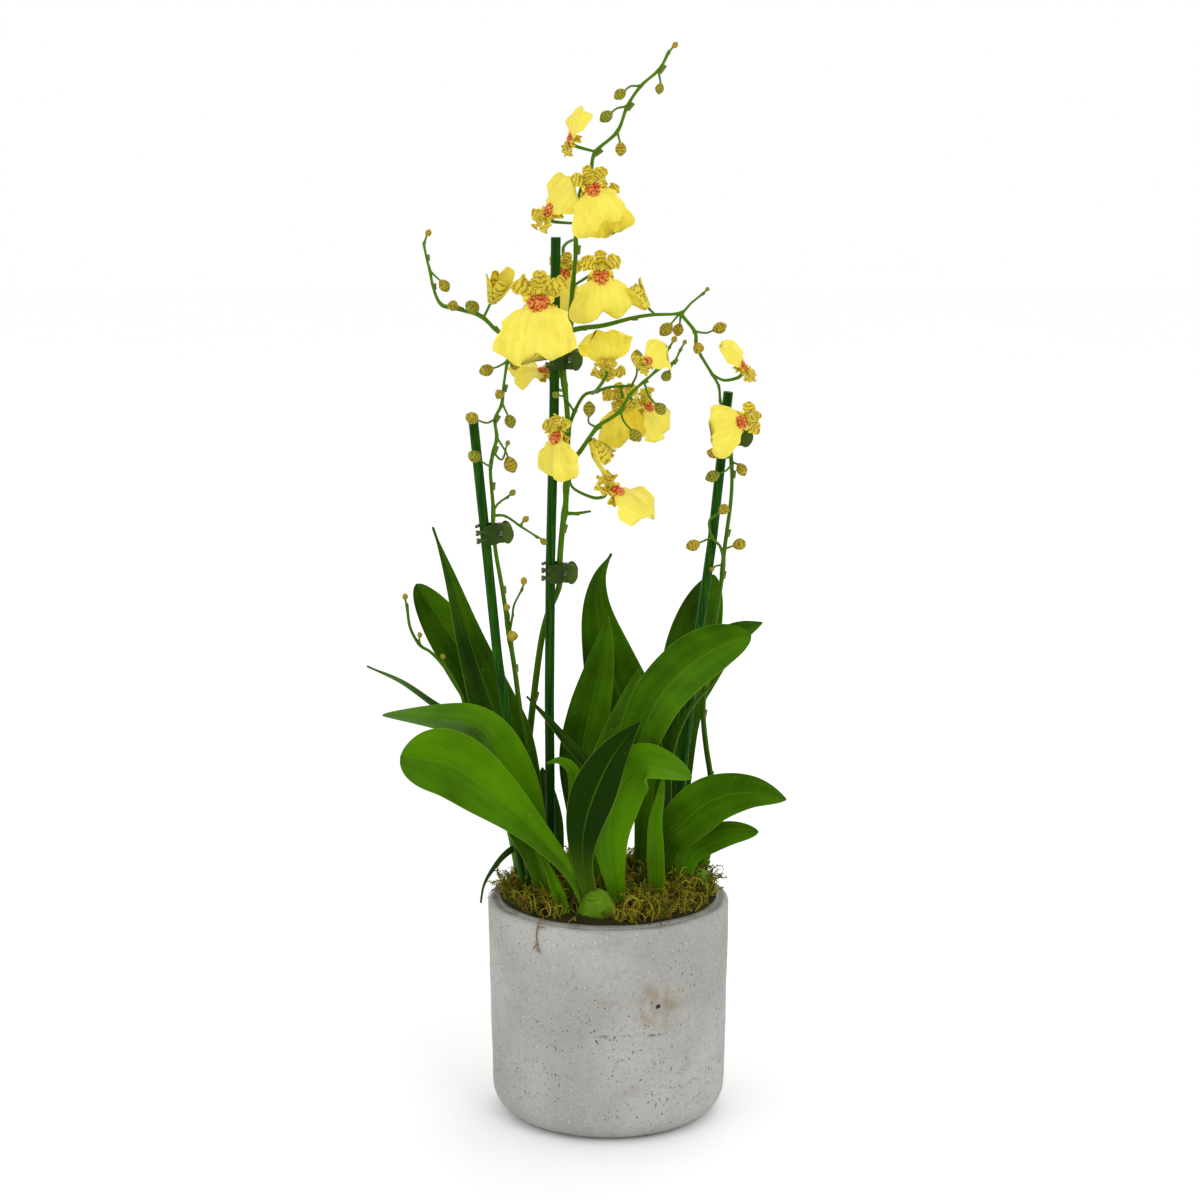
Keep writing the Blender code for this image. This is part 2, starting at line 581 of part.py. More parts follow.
def make_bulbs(group):
    """The front growth with its two leaves, and the two bare pseudobulbs behind it."""
    made = []
    for name, (centre, half_sizes) in BULBS.items():
        ball = ellipsoid(name, centre, half_sizes, (0, 0, 1), BULB_SIDES, BULB_RINGS, group)
        if name == "front":
            grown = [leaf(key, *shape, group) for key, shape in FRONT_GROWTH_LEAVES.items()]
            ball = fuse("growth_front", [ball, *grown], group)
        made.append(ball)
    return made


def bloom_basis(centre, faces, lip_way):
    """A frame at the bloom's centre: +Z the way it faces, +Y away from its lip."""
    z = Vector(faces).normalized()
    y = -(Vector(lip_way) - z * Vector(lip_way).dot(z)).normalized()
    x = y.cross(z)
    turn = Matrix((x, y, z)).transposed().to_4x4()
    return Matrix.Translation(Vector(centre)) @ turn


def lip_place(u, v):
    """The lip: two ears, a waist, then a broad skirt with a notch and a waved hem."""
    row = min(range(len(LIP_ROWS)), key=lambda i: abs(i / (len(LIP_ROWS) - 1) - v))
    share = LIP_ROWS[row]
    half = LIP_HALF_WIDTHS[row]
    notch = 5.0 * (1 - abs(u)) ** 2 * share ** 6
    wave = 1.3 * math.cos(2.5 * math.pi * u) * share ** 2
    swell = 4.5 * math.sin(0.85 * math.pi * share) - 4.0 * u * u * share
    shoulder = 4.0 * abs(u) ** 2 * share
    return Vector((u * half, -1.0 - LIP_LENGTH * share + notch + shoulder, 1.5 + swell + wave))


def petal_star(name, group):
    """The three sepals and two petals as one sheet: five kite shaped blades round the centre."""
    petals = ((0, 11.5, 4.0, 3.0), (62, 13.5, 5.2, 2.0), (142, 11.5, 3.6, -3.0),
              (218, 11.5, 3.6, -3.0), (298, 13.5, 5.2, 2.0))
    work = bmesh.new()
    centre = work.verts.new((0, 0, 0))
    corners = []
    for number, (degrees, length, half_width, rise) in enumerate(petals):
        angle = math.radians(degrees)
        out = Vector((math.sin(angle), math.cos(angle), 0))
        aside = Vector((out.y, -out.x, 0))
        before = math.radians((petals[number - 1][0] - 360 * (number == 0) + degrees) / 2)
        valley = Vector((math.sin(before), math.cos(before), 0)) * 3.2
        wide = out * length * 0.55 + Vector((0, 0, rise * 0.3))
        tip = out * length + Vector((0, 0, rise))
        corners.append([work.verts.new(metres(point)) for point in
                        (valley, wide - aside * half_width, tip, wide + aside * half_width)])
    for number, (valley, near, tip, far) in enumerate(corners):
        following = corners[(number + 1) % len(corners)][0]
        work.faces.new((centre, following, valley))
        work.faces.new((valley, following, far, near))
        work.faces.new((near, far, tip))
    mesh = bpy.data.meshes.new(name)
    work.to_mesh(mesh)
    work.free()
    made = new_object(name, mesh, group)
    shell = made.modifiers.new("Petal thickness", "SOLIDIFY")
    shell.thickness = PETAL_THICKNESS * MM
    shell.offset = 0
    return made


def bloom_pieces(name, group):
    """The parts of one bloom of size 1, centred on the origin and facing +Z."""
    return [
        ellipsoid(name + "_receptacle", (0, 0, 0), (2.8, 2.8, RECEPTACLE), (0, 0, 1), 6, 3, group),
        blade(name + "_lip", lip_place, LIP_ACROSS, len(LIP_ROWS) - 1, PETAL_THICKNESS, group),
        petal_star(name + "_petals", group),
    ]


def bloom_mesh(group):
    """The shared mesh of one bloom, in metres at size 1."""
    whole = fuse("bloom_pattern", bloom_pieces("bloom_pattern", group), group)
    mesh = whole.data
    bpy.data.objects.remove(whole, do_unlink=True)
    return mesh


def bloom_matrix(centre, faces, lip_way, size):
    basis = bloom_basis(metres(centre), faces, lip_way)
    return basis @ Matrix.Diagonal((size, size, size, 1))


def make_blooms(pattern, group):
    made = []
    for name, (centre, faces, lip_way, size) in BLOOMS.items():
        one = new_object(name, pattern, group)
        one.matrix_world = bloom_matrix(centre, faces, lip_way, size)
        made.append(one)
    return made


def pedicel_route(way, centre, faces, size):
    """The stalk's points: along its way, then square on to the back of its bloom."""
    back = Vector(faces).normalized()
    end = Vector(centre) - back * (RECEPTACLE * size + GAP)
    return [*(Vector(p) for p in way), end - back * 4.0, end]


def nearest_on(lines, point):
    """The point of the centre lines that is nearest to this one."""
    wanted, best = Vector(point), None
    for line in lines:
        for start, end in zip(line, line[1:]):
            way = end - start
            share = min(max((wanted - start).dot(way) / way.length_squared, 0), 1)
            on_line = start + way * share
            if best is None or (on_line - wanted).length < (best - wanted).length:
                best = on_line
    return best


def make_spray(name, group):
    """A flower stem with its branches, buds, opening flowers and bare flower stalks."""
    pieces, lines = [], []
    for number, (route, start, end) in enumerate(SPRAYS[name]):
        points = [Vector(p) for p in route]
        if lines:
            points[0] = nearest_on(lines, points[0])
        lines.append(points)
        bevel = 1 if start > ROUND_STEM_OVER else 0
        pieces.append(tube(f"{name}_stem_{number}", points, start, end, bevel, group))
    for number, (start, bend, end, half_length) in enumerate(BUDS.get(name, ())):
        root = nearest_on(lines, start)
        points = [root, bend, end] if (Vector(end) - root).length > LONG_STALK else [root, end]
        stalk = tube(f"{name}_stalk_{number}", points, PEDICEL_RADIUS, PEDICEL_RADIUS, 0, group)
        way = (Vector(end) - Vector(bend)).normalized()
        half_length = half_length * BUD_SWELL
        centre = Vector(end) + way * half_length * 0.7
        slim = half_length * BUD_SLIMNESS
        bud = ellipsoid(f"{name}_bud_{number}", centre, (slim, slim, half_length), way,
                        BUD_SIDES, BUD_RINGS, group)
        pieces += [stalk, bud]
    for number, (spray, way, bloom) in enumerate(PEDICELS):
        if spray == name:
            centre, faces, _, size = BLOOMS[bloom]
            points = pedicel_route((nearest_on(lines, way[0]), *way[1:]), centre, faces, size)
            pieces.append(tube(f"{name}_pedicel_{number}", points, 0.9, 0.8, 0, group))
    for number, (start, end, half_sizes) in enumerate(OPENING.get(name, ())):
        root = nearest_on(lines, start)
        way = (Vector(end) - root).normalized()
        pieces.append(tube(f"{name}_opening_stalk_{number}", [root, end], 0.9, 0.8, 0, group))
        pieces.append(ellipsoid(f"{name}_opening_{number}", Vector(end) + way * half_sizes[2] * 0.7,
                                half_sizes, way, BUD_SIDES, 4, group))
    return fuse(name, pieces, group)


def turned(name, outline, sides, group):
    """A solid of revolution round Z from an outline of (radius, height) in millimetres."""
    mesh = bpy.data.meshes.new(name)
    verts = [metres((radius, 0, height)) for radius, height in outline]
    mesh.from_pydata(verts, [(i, i + 1) for i in range(len(verts) - 1)], [])
    made = new_object(name, mesh, group)
    screw = made.modifiers.new("Turned", "SCREW")
    screw.steps = screw.render_steps = sides
    screw.use_merge_vertices = True
    screw.merge_threshold = 0.00001
    screw.use_normal_calculate = True
    return made


def make_pot(group):
    inner = POT_RADIUS - POT_WALL
    outline = [(0, POT_FLOOR), (inner - 8, POT_FLOOR), (inner - 1.5, POT_FLOOR + 6),
               (inner, POT_HEIGHT - 4), (inner + 1.8, POT_HEIGHT - 0.8), (inner + 3.6, POT_HEIGHT),
               (POT_RADIUS - 1.6, POT_HEIGHT - 0.8), (POT_RADIUS, POT_HEIGHT - 4),
               (POT_FOOT_RADIUS + 0.8, POT_HEIGHT * 0.4)]
    centre_r = POT_FOOT_RADIUS - POT_FOOT_FILLET
    for step in range(FILLET_STEPS + 1):
        angle = math.pi / 2 * step / FILLET_STEPS
        outline.append((centre_r + POT_FOOT_FILLET * math.cos(angle),
                        POT_FOOT_FILLET * (1 - math.sin(angle))))
    outline.append((0, 0))
    return turned("pot", outline, POT_SIDES, group)


def make_medium(group):
    inner = POT_RADIUS - POT_WALL
    top_r = inner - 1.5 + 1.5 * (MEDIUM_TOP - 16) / (POT_HEIGHT - 20) - 0.5
    outline = [(0, MEDIUM_TOP), (top_r, MEDIUM_TOP), (inner - 2.1, POT_FLOOR + 6.4),
               (inner - 8.4, POT_FLOOR + GAP), (0, POT_FLOOR + GAP)]
    return turned("growing_medium", outline, POT_SIDES, group)


def moss_height(x, y):
    """The top of the moss: a low crown, a mound on the right and soft lumps."""
    inner = POT_RADIUS - POT_WALL
    (mound_x, mound_y), mound_height, mound_spread = MOSS_MOUND
    edge = min(math.hypot(x, y) / inner, 1)
    crown = MOSS_CROWN * (1 - edge ** 2)
    mound = mound_height * math.exp(-((x - mound_x) ** 2 + (y - mound_y) ** 2) / mound_spread ** 2)
    lumps = MOSS_LUMP * noise.noise(Vector((x / 11, y / 11, 0.5)))
    return MOSS_EDGE + crown + mound * (1 - 0.5 * edge ** 8) + lumps * (1 - 0.4 * edge)


def make_moss(group):
    """The moss cushion: a disc of rings, raised by moss_height, over a plain underside."""
    outer = POT_RADIUS - POT_WALL - 1.2
    work = bmesh.new()
    rings = []
    for ring in range(MOSS_RINGS + 1):
        radius = outer * math.sqrt(ring / MOSS_RINGS)
        count = 1 if ring == 0 else POT_SIDES
        rings.append([
            work.verts.new(metres((x, y, moss_height(x, y))))
            for x, y in ((radius * math.cos(math.tau * i / count),
                          radius * math.sin(math.tau * i / count)) for i in range(count))])
    low = MEDIUM_TOP + GAP
    rings.append([work.verts.new((v.co.x, v.co.y, low * MM)) for v in rings[-1]])
    for inside, outside in zip(rings, rings[1:]):
        for i in range(POT_SIDES):
            j = (i + 1) % POT_SIDES
            if len(inside) == 1:
                work.faces.new((inside[0], outside[i], outside[j]))
            else:
                work.faces.new((inside[i], outside[i], outside[j], inside[j]))
    work.faces.new(list(reversed(rings[-1])))
    bmesh.ops.triangulate(work, faces=work.faces)
    bmesh.ops.recalc_face_normals(work, faces=work.faces)
    mesh = bpy.data.meshes.new("moss")
    work.to_mesh(mesh)
    work.free()
    return new_object("moss", mesh, group)


def make_canes(group):
    """The round canes, slightly bent, from their feet in the growing medium to their cut tops."""
    return [tube(f"cane_{name}", line, CANE_RADIUS, CANE_RADIUS, CANE_BEVEL, group)
            for name, line in CANES.items()]


def pocket_cutter(obj, floor, top, group):
    """A plain upright pocket round a piece's foot, as wide and deep as the foot needs."""
    foot = settled(obj)
    flat = [Vector(v.co.xy) for v in foot.vertices if v.co.z < top * MM]
    edges = [(foot.vertices[a].co, foot.vertices[b].co) for a, b in (e.vertices for e in foot.edges)]
    for low, high in (sorted(pair, key=lambda co: co.z) for pair in edges):
        if low.z < top * MM < high.z:
            flat.append(low.lerp(high, (top * MM - low.z) / (high.z - low.z)).xy)
    bpy.data.meshes.remove(foot)
    best = None
    for step in range(18):
        angle = math.pi / 2 * step / 18
        one = Vector((math.cos(angle), math.sin(angle)))
        two = Vector((-one.y, one.x))
        spans = [[f(p.dot(axis) for p in flat) for f in (min, max)] for axis in (one, two)]
        area = (spans[0][1] - spans[0][0]) * (spans[1][1] - spans[1][0])
        if best is None or area < best[0]:
            best = (area, one, two, spans)
    _, one, two, spans = best
    grow = HOLE_MARGIN * MM
    low_a, high_a = spans[0][0] - grow, spans[0][1] + grow
    low_b, high_b = spans[1][0] - grow, spans[1][1] + grow
    work = bmesh.new()
    rings = []
    for height in (floor, top):
        rings.append([work.verts.new((*(one * a + two * b), height * MM)) for a, b in
                      ((low_a, low_b), (high_a, low_b), (high_a, high_b), (low_a, high_b))])
    bottom, lid = rings
    work.faces.new(bottom)
    work.faces.new(lid)
    for i in range(4):
        j = (i + 1) % 4
        work.faces.new((bottom[i], bottom[j], lid[j], lid[i]))
    bmesh.ops.recalc_face_normals(work, faces=work.faces)
    mesh = bpy.data.meshes.new(obj.name + "_pocket")
    work.to_mesh(mesh)
    work.free()
    cutter = new_object(obj.name + "_pocket", mesh, group)
    cutter.hide_render = True
    cutter.display_type = "WIRE"
    return cutter


def cut_from(body, cutter):
    cut = body.modifiers.new("Hole", "BOOLEAN")
    cut.operation = "DIFFERENCE"
    cut.object = cutter
    cut.solver = "MANIFOLD"
    body.data = settled(body)
    body.modifiers.clear()
    discard(cutter)


def cut_cane_holes(body, cutters):
    """The holes that the canes are pushed down."""
    for name, line in CANES.items():
        foot = Vector(line[0]) - (Vector(line[1]) - Vector(line[0])).normalized() * GAP
        radius = CANE_RADIUS + 3 * GAP
        cut_from(body, tube(name + "_hole", [foot, *line[1:3]], radius, radius, CANE_BEVEL, cutters))


def cut_pockets(body, standing, cutters):
    for piece in standing:
        low = min(corner[2] for corner in piece.bound_box) / MM - GAP
        cut_from(body, pocket_cutter(piece, max(low, MEDIUM_TOP - 1), HOLE_TOP, cutters))


def plate(name, loops, height, centre_z, group):
    """A flat plate of this height in XY: its outline and the outlines of its holes."""
    curve = bpy.data.curves.new(name, "CURVE")
    curve.dimensions = "2D"
    curve.fill_mode = "BOTH"
    curve.extrude = height / 2 * MM
    for loop in loops:
        spline = curve.splines.new("POLY")
        spline.points.add(len(loop) - 1)
        for spline_point, (x, y) in zip(spline.points, loop):
            spline_point.co = (x * MM, y * MM, 0, 1)
        spline.use_cyclic_u = True
    drawn = new_object(name, curve, group)
    drawn.location.z = centre_z * MM
    mesh = settled(drawn)
    bpy.data.objects.remove(drawn, do_unlink=True)
    bpy.data.curves.remove(curve)
    return new_object(name, mesh, group)


def knuckle_loops(side, bored):
    """A knuckle's outline, round about the pin and square where it meets its jaw, and its bore."""
    outline = [(PIN_X + KNUCKLE_RADIUS, side * 3.0), (PIN_X - KNUCKLE_RADIUS, side * 3.0)]
    for step in range(5):
        angle = math.pi * (1 + step / 4)
        outline.append((PIN_X + KNUCKLE_RADIUS * math.cos(angle),
                        side * KNUCKLE_RADIUS * math.sin(angle)))
    bore = [(PIN_X + KNUCKLE_BORE * math.cos(math.tau * step / PIN_SIDES),
             KNUCKLE_BORE * math.sin(math.tau * step / PIN_SIDES)) for step in range(PIN_SIDES)]
    return [outline, bore] if bored else [outline]


def band(name, outline, height, centre_z, group):
    """A flat strip that follows the outline in XY, JAW_THICKNESS wide and this high."""
    left, right = [], []
    for index, point in enumerate(outline):
        before = Vector(outline[max(index - 1, 0)])
        after = Vector(outline[min(index + 1, len(outline) - 1)])
        way = (after - before).normalized()
        off = Vector((-way.y, way.x)) * JAW_THICKNESS / 2
        left.append(Vector(point) + off)
        right.append(Vector(point) - off)
    return plate(name, [left + right[::-1]], height, centre_z, group)


def drum(name, radius, low, high, sides, group):
    """A short cylinder on the clip's pin line."""
    work = bmesh.new()
    bmesh.ops.create_cone(work, cap_ends=True, segments=sides, radius1=radius * MM,
                          radius2=radius * MM, depth=(high - low) * MM,
                          matrix=Matrix.Translation(metres((PIN_X, 0, (low + high) / 2))))
    mesh = bpy.data.meshes.new(name)
    work.to_mesh(mesh)
    work.free()
    return new_object(name, mesh, group)


JAW_OUTLINE = ((16.5, 6.6), (13.0, 4.9), (10.0, 3.2), (7.6, 3.9), (4.5, 5.4), (-1.5, 5.4))
PRONG_OUTLINE = ((-0.6, 5.4), (-3.8, 4.1), (-4.7, 1.7), (-4.1, -0.4))
FIXED_PRONGS = (-5.0, 0.0, 5.0)
LOOSE_PRONGS = (-2.5, 2.5)
FIXED_KNUCKLES = ((-6.0, -4.0), (4.0, 6.0))
LOOSE_KNUCKLES = ((-3.7, -1.8), (1.8, 3.7))
SPRING_DRUM = (-1.5, 1.5)
SPRING_RADIUS = 1.5
PIN_SIDES = 6


def jaw(name, side, group):
    """One jaw in the clip's own frame. side is 1 for the fixed jaw and -1 for the loose one."""
    fixed = side > 0
    pieces = [band(name, [(x, side * y) for x, y in JAW_OUTLINE], JAW_HEIGHT, 0, group)]
    for height in FIXED_PRONGS if fixed else LOOSE_PRONGS:
        outline = [(x, side * y) for x, y in PRONG_OUTLINE]
        pieces.append(band(f"{name}_prong", outline, PRONG_HEIGHT, height, group))
    for low, high in FIXED_KNUCKLES if fixed else LOOSE_KNUCKLES:
        loops = knuckle_loops(side, not fixed)
        pieces.append(plate(f"{name}_knuckle", loops, high - low, (low + high) / 2, group))
    if fixed:
        pieces.append(drum(f"{name}_pin", PIN_RADIUS, -6.5, 6.5, PIN_SIDES, group))
        pieces.append(drum(f"{name}_spring", SPRING_RADIUS, *SPRING_DRUM, CLIP_SIDES, group))
    return fuse(name, pieces, group)


def cane_point(cane, height):
    """The cane's centre at this height, and the way that it runs."""
    line = [Vector(point) for point in CANES[cane]]
    for foot, top in zip(line, line[1:]):
        if foot.z <= height <= top.z:
            return foot.lerp(top, (height - foot.z) / (top.z - foot.z)), (top - foot).normalized()
    raise ValueError("the clip is off its cane")


def clip_matrix(cane, height, tabs_point, loose_in_front):
    """The clip's frame on its cane: +Z along the cane, +X towards its finger tabs."""
    centre, way = cane_point(cane, height)
    z = way
    x = (Vector(tabs_point) - z * Vector(tabs_point).dot(z)).normalized()
    if not loose_in_front:
        z = -z
    y = z.cross(x)
    return Matrix.Translation(metres(centre)) @ Matrix((x, y, z)).transposed().to_4x4()


def make_clips(group):
    """Each clip's fixed jaw, with pin and spring drum, and its loose jaw with its origin on the pin."""
    fixed_mesh, loose_mesh = None, None
    made = []
    for name, (cane, height, tabs_point, loose_in_front) in CLIPS.items():
        if fixed_mesh is None:
            fixed, loose = jaw("jaw_fixed", 1, group), jaw("jaw_loose", -1, group)
            fixed_mesh, loose_mesh = fixed.data, loose.data
            loose_mesh.transform(Matrix.Translation(metres((-PIN_X, 0, 0))))
            bpy.data.objects.remove(fixed, do_unlink=True)
            bpy.data.objects.remove(loose, do_unlink=True)
        place = clip_matrix(cane, height, tabs_point, loose_in_front)
        one = new_object(f"clip_{name}_fixed_jaw", fixed_mesh, group)
        one.matrix_world = place
        other = new_object(f"clip_{name}_loose_jaw", loose_mesh, group)
        other.matrix_world = place @ Matrix.Translation(metres((PIN_X, 0, 0)))
        made += [one, other]
    return made


def paint(objects, material):
    for obj in objects:
        if not obj.data.materials:
            obj.data.materials.append(material)


def shade(objects):
    """Smooth shading, with the edges kept that turn sharply."""
    for obj in objects:
        obj.data.shade_smooth()
        obj.data.set_sharp_from_angle(angle=SHARP_FROM)


def main():
    clear_scene()
    group = bpy.data.collections.new("Oncidium orchid")
    cutters = bpy.data.collections.new("Cutters")
    for collection in (group, cutters):
        bpy.context.scene.collection.children.link(collection)

    pattern = bloom_mesh(group)
    blooms = make_blooms(pattern, group)
    sprays = [make_spray(name, group) for name in SPRAYS]
    leaves = make_leaves(group)
    bulbs = make_bulbs(group)
    canes = make_canes(group)
    clips = make_clips(group)

    pot = make_pot(group)
    medium = make_medium(group)
    moss = make_moss(group)
    cut_cane_holes(medium, cutters)
    cut_cane_holes(moss, cutters)
    cut_pockets(moss, [*sprays, *leaves, *bulbs], cutters)

    paint([pot], finish("Cast concrete", (0.5, 0.49, 0.46), 0.9))
    paint([medium], finish("Bark mix", (0.11, 0.07, 0.04), 0.95))
    paint([moss], finish("Moss", (0.2, 0.22, 0.04), 0.95))
    paint(canes, finish("Green cane", (0.03, 0.12, 0.03), 0.5))
    paint(clips, finish("Clip plastic", (0.04, 0.1, 0.05), 0.3))
    paint([*leaves, *bulbs], finish("Leaf", (0.08, 0.24, 0.02), 0.45))
    paint(sprays, finish("Green stem", (0.12, 0.28, 0.03), 0.5))
    paint(blooms, finish("Yellow petal", (0.9, 0.8, 0.15), 0.5))
    shade(group.objects)


main()
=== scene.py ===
# %% [markdown]
# # An oncidium orchid in a concrete pot
# The object is a whole potted plant: a cast concrete cylinder, moss, a clump of strap leaves, four
# flower stems with yellow blooms, three green canes, and four claw clips that hold stems to canes.
# The solids are already packed, so this lesson dresses each of them with a finer mesh in the same
# place. All tables are in millimetres, and a mesh is turned to metres when it is made.

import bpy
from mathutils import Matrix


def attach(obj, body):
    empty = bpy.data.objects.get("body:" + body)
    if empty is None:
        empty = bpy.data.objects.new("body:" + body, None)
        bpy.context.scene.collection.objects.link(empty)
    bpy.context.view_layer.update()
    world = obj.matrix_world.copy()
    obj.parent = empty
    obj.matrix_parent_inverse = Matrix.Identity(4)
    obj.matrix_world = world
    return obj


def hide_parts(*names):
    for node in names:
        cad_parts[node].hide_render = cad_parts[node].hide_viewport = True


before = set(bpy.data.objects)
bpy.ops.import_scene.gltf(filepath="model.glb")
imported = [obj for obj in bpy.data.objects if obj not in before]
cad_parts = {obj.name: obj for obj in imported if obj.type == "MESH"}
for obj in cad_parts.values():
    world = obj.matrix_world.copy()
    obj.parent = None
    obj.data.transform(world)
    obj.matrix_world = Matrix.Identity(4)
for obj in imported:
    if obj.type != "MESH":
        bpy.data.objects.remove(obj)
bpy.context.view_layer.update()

# %% Libraries
import math
import random

import bmesh
import bpy
import numpy as np
from mathutils import Matrix, Vector, noise

MM = 0.001
PLANT = "potted_plant"

# %% [markdown]
# ## The camera, the floor and the light
# The photograph is taken from a little above the plant with a long lens, on white. One wide floor and
# a white sky give that, and three large soft lamps give the leaves and the clips something to mirror.

# %% Camera
CAMERA_AT = (-0.0053, -1.75, 0.672)
CAMERA_TILT = 78.9
camera = bpy.data.objects.new("camera", bpy.data.cameras.new("camera"))
bpy.context.scene.collection.objects.link(camera)
camera.location = CAMERA_AT
camera.rotation_euler = (math.radians(CAMERA_TILT), 0, 0)
camera.data.sensor_width = 36
camera.data.lens = 86.4
bpy.context.scene.camera = camera
bpy.context.scene.view_settings.view_transform = "Standard"
print("camera looks down by", round(90 - CAMERA_TILT, 1), "degrees")

# %% Sky and lamps
SKY_STRENGTH = 1.0
LAMPS = {  # where it stands, its width in metres and its power in watts
    "key_lamp": ((1.2, -1.8, 1.9), 1.1, 9),
    "fill_lamp": ((-1.5, -1.4, 1.2), 1.2, 3),
    "back_lamp": ((0.5, 1.6, 1.6), 1.2, 5),
}
LOOK_AT = Vector((0, 0, 0.3))

world = bpy.data.worlds.new("white sky")
world.use_nodes = True
world.node_tree.nodes["Background"].inputs["Color"].default_value = (1, 1, 1, 1)
world.node_tree.nodes["Background"].inputs["Strength"].default_value = SKY_STRENGTH
bpy.context.scene.world = world
for name, (place, size, power) in LAMPS.items():
    lamp = bpy.data.objects.new(name, bpy.data.lights.new(name, "AREA"))
    lamp.data.size = size
    lamp.data.energy = power
    lamp.location = place
    lamp.rotation_euler = (LOOK_AT - Vector(place)).to_track_quat("-Z", "Y").to_euler()
    bpy.context.scene.collection.objects.link(lamp)
print("lamps:", len(LAMPS))

# %% [markdown]
# ## Shader sums that read as sums
# A finish is a small tree of nodes. Wrapping a socket in a class that knows + - * lets a mask be
# written as 1 - mask, and a single method makes every other kind of node from its settings and sockets.

# %% A wrapped socket
class Wire:
    """One socket of a node tree, with the arithmetic that shader masks need."""

    def __init__(self, recipe, socket):
        self.recipe, self.socket = recipe, socket

    def maths(self, operation, *others):
        values = dict(enumerate((self, *others)))
        return self.recipe.add("ShaderNodeMath", {"operation": operation}, values)

    def __add__(self, other):
        return self.maths("ADD", other)

    def __sub__(self, other):
        return self.maths("SUBTRACT", other)

    def __rsub__(self, other):
        return self.recipe.add("ShaderNodeMath", {"operation": "SUBTRACT"}, {0: other, 1: self})

    def __mul__(self, other):
        return self.maths("MULTIPLY", other)


# %% A node tree that adds any node in one way
class Recipe:
    """A node tree, and one way to add any node to it."""

    def __init__(self, tree):
        self.tree = tree

    def add(self, kind, settings=None, sockets=None, out=0):
        node = self.tree.nodes.new(kind)
        for key, value in (settings or {}).items():
            setattr(node, key, value)
        shown = [socket for socket in node.inputs if socket.enabled]
        for key, value in (sockets or {}).items():
            socket = shown[key] if isinstance(key, int) else next(s for s in shown if s.name == key)
            if isinstance(value, Wire):
                self.tree.links.new(value.socket, socket)
            else:
                socket.default_value = value
        return Wire(self, [socket for socket in node.outputs if socket.enabled][out])


# %% A finish: the shader with the masks that most of the plant's finishes share
def tint(red, green, blue):
    """A colour as a screen shows it, each part 0 to 255, as linear light."""
    return (*(((part / 255 + 0.055) / 1.055) ** 2.4 for part in (red, green, blue)), 1.0)


class Finish(Recipe):
    """A material around one Principled shader. Constants go straight onto its sockets."""

    def __init__(self, name, **constants):
        self.material = bpy.data.materials.new(name)
        self.material.use_nodes = True
        super().__init__(self.material.node_tree)
        self.shader = self.tree.nodes["Principled BSDF"]
        for key, value in constants.items():
            socket = key.replace("_", " ").title().replace("Ior", "IOR")
            self.shader.inputs[socket].default_value = value
        self.place = self.add("ShaderNodeTexCoord", out=3)

    def stretched(self, scale):
        return self.add("ShaderNodeMapping", {}, {"Vector": self.place, "Scale": scale})

    def grain(self, scale, detail=3.0, place=None):
        """Soft noise from 0 to 1, with this many lumps to the metre."""
        return self.add("ShaderNodeTexNoise", {},
                        {"Vector": place or self.place, "Scale": scale, "Detail": detail})

    def cells(self, scale):
        """Distance to the nearest of some scattered points, this many to the metre."""
        return self.add("ShaderNodeTexVoronoi", {}, {"Vector": self.place, "Scale": scale})

    def laid_out(self, across, along, scale):
        """A place on the piece's own map, stretched, that also drifts with the place in space."""
        return self.add("ShaderNodeCombineXYZ", {}, {0: across * scale[0], 1: along * scale[1],
                                                     2: self.part(self.place, 2) * scale[2]})

    def smooth(self, value, low, high):
        return self.add("ShaderNodeMapRange", {"interpolation_type": "SMOOTHSTEP"},
                        {"Value": value, "From Min": low, "From Max": high})

    def mix(self, factor, first, second):
        return self.add("ShaderNodeMix", {"data_type": "RGBA"},
                        {"Factor": factor, "A": first, "B": second})

    def layered(self, colour, *layers):
        """The colour, with each (mask, tint) laid over it in turn."""
        for mask, over in layers:
            colour = self.mix(mask, colour, over)
        return colour

    def part(self, vector, axis):
        return self.add("ShaderNodeSeparateXYZ", {}, {0: vector}, axis)

    def carried(self, name):
        """A number that the mesh carries at each of its points."""
        return self.add("ShaderNodeAttribute", {"attribute_name": name}, {}, 2)

    def across_and_along(self):
        """The piece's own map: across it in x, along it in y, both 0 to 1."""
        laid = self.add("ShaderNodeUVMap", {"uv_map": "laid"})
        return self.part(laid, 0), self.part(laid, 1)

    def paint(self, colour, roughness=None, height=None, depth=0.0003):
        self.tree.links.new(colour.socket, self.shader.inputs["Base Color"])
        if roughness is not None:
            self.tree.links.new(roughness.socket, self.shader.inputs["Roughness"])
        if height is not None:
            bump = self.add("ShaderNodeBump", {}, {"Height": height, "Distance": depth, "Strength": 1.0})
            self.tree.links.new(bump.socket, self.shader.inputs["Normal"])
        return self.material


# %% Floor
floor = bpy.data.objects.new("floor", bpy.data.meshes.new("floor"))
FLOOR_REACH = 6.0
floor.data.from_pydata([(x * FLOOR_REACH, y * FLOOR_REACH, -0.0002) for x, y in
                        ((-1, -1), (1, -1), (1, 1), (-1, 1))], [], [(0, 1, 2, 3)])
bpy.context.scene.collection.objects.link(floor)
white_floor = Finish("white floor", roughness=0.9)
floor.data.materials.append(
    white_floor.paint(white_floor.mix(white_floor.grain(3), tint(254, 254, 254), tint(255, 255, 255))))

# %% [markdown]
# ## Three ways to shape a plant
# Nearly everything on a plant is a tube, a ball or a thin sheet. Each is written as a stack of closed
# rings, so the three share one mesh maker, and each ring knows where it lies across and along the
# piece. That map carries the veins of a leaf and the bars of a petal.

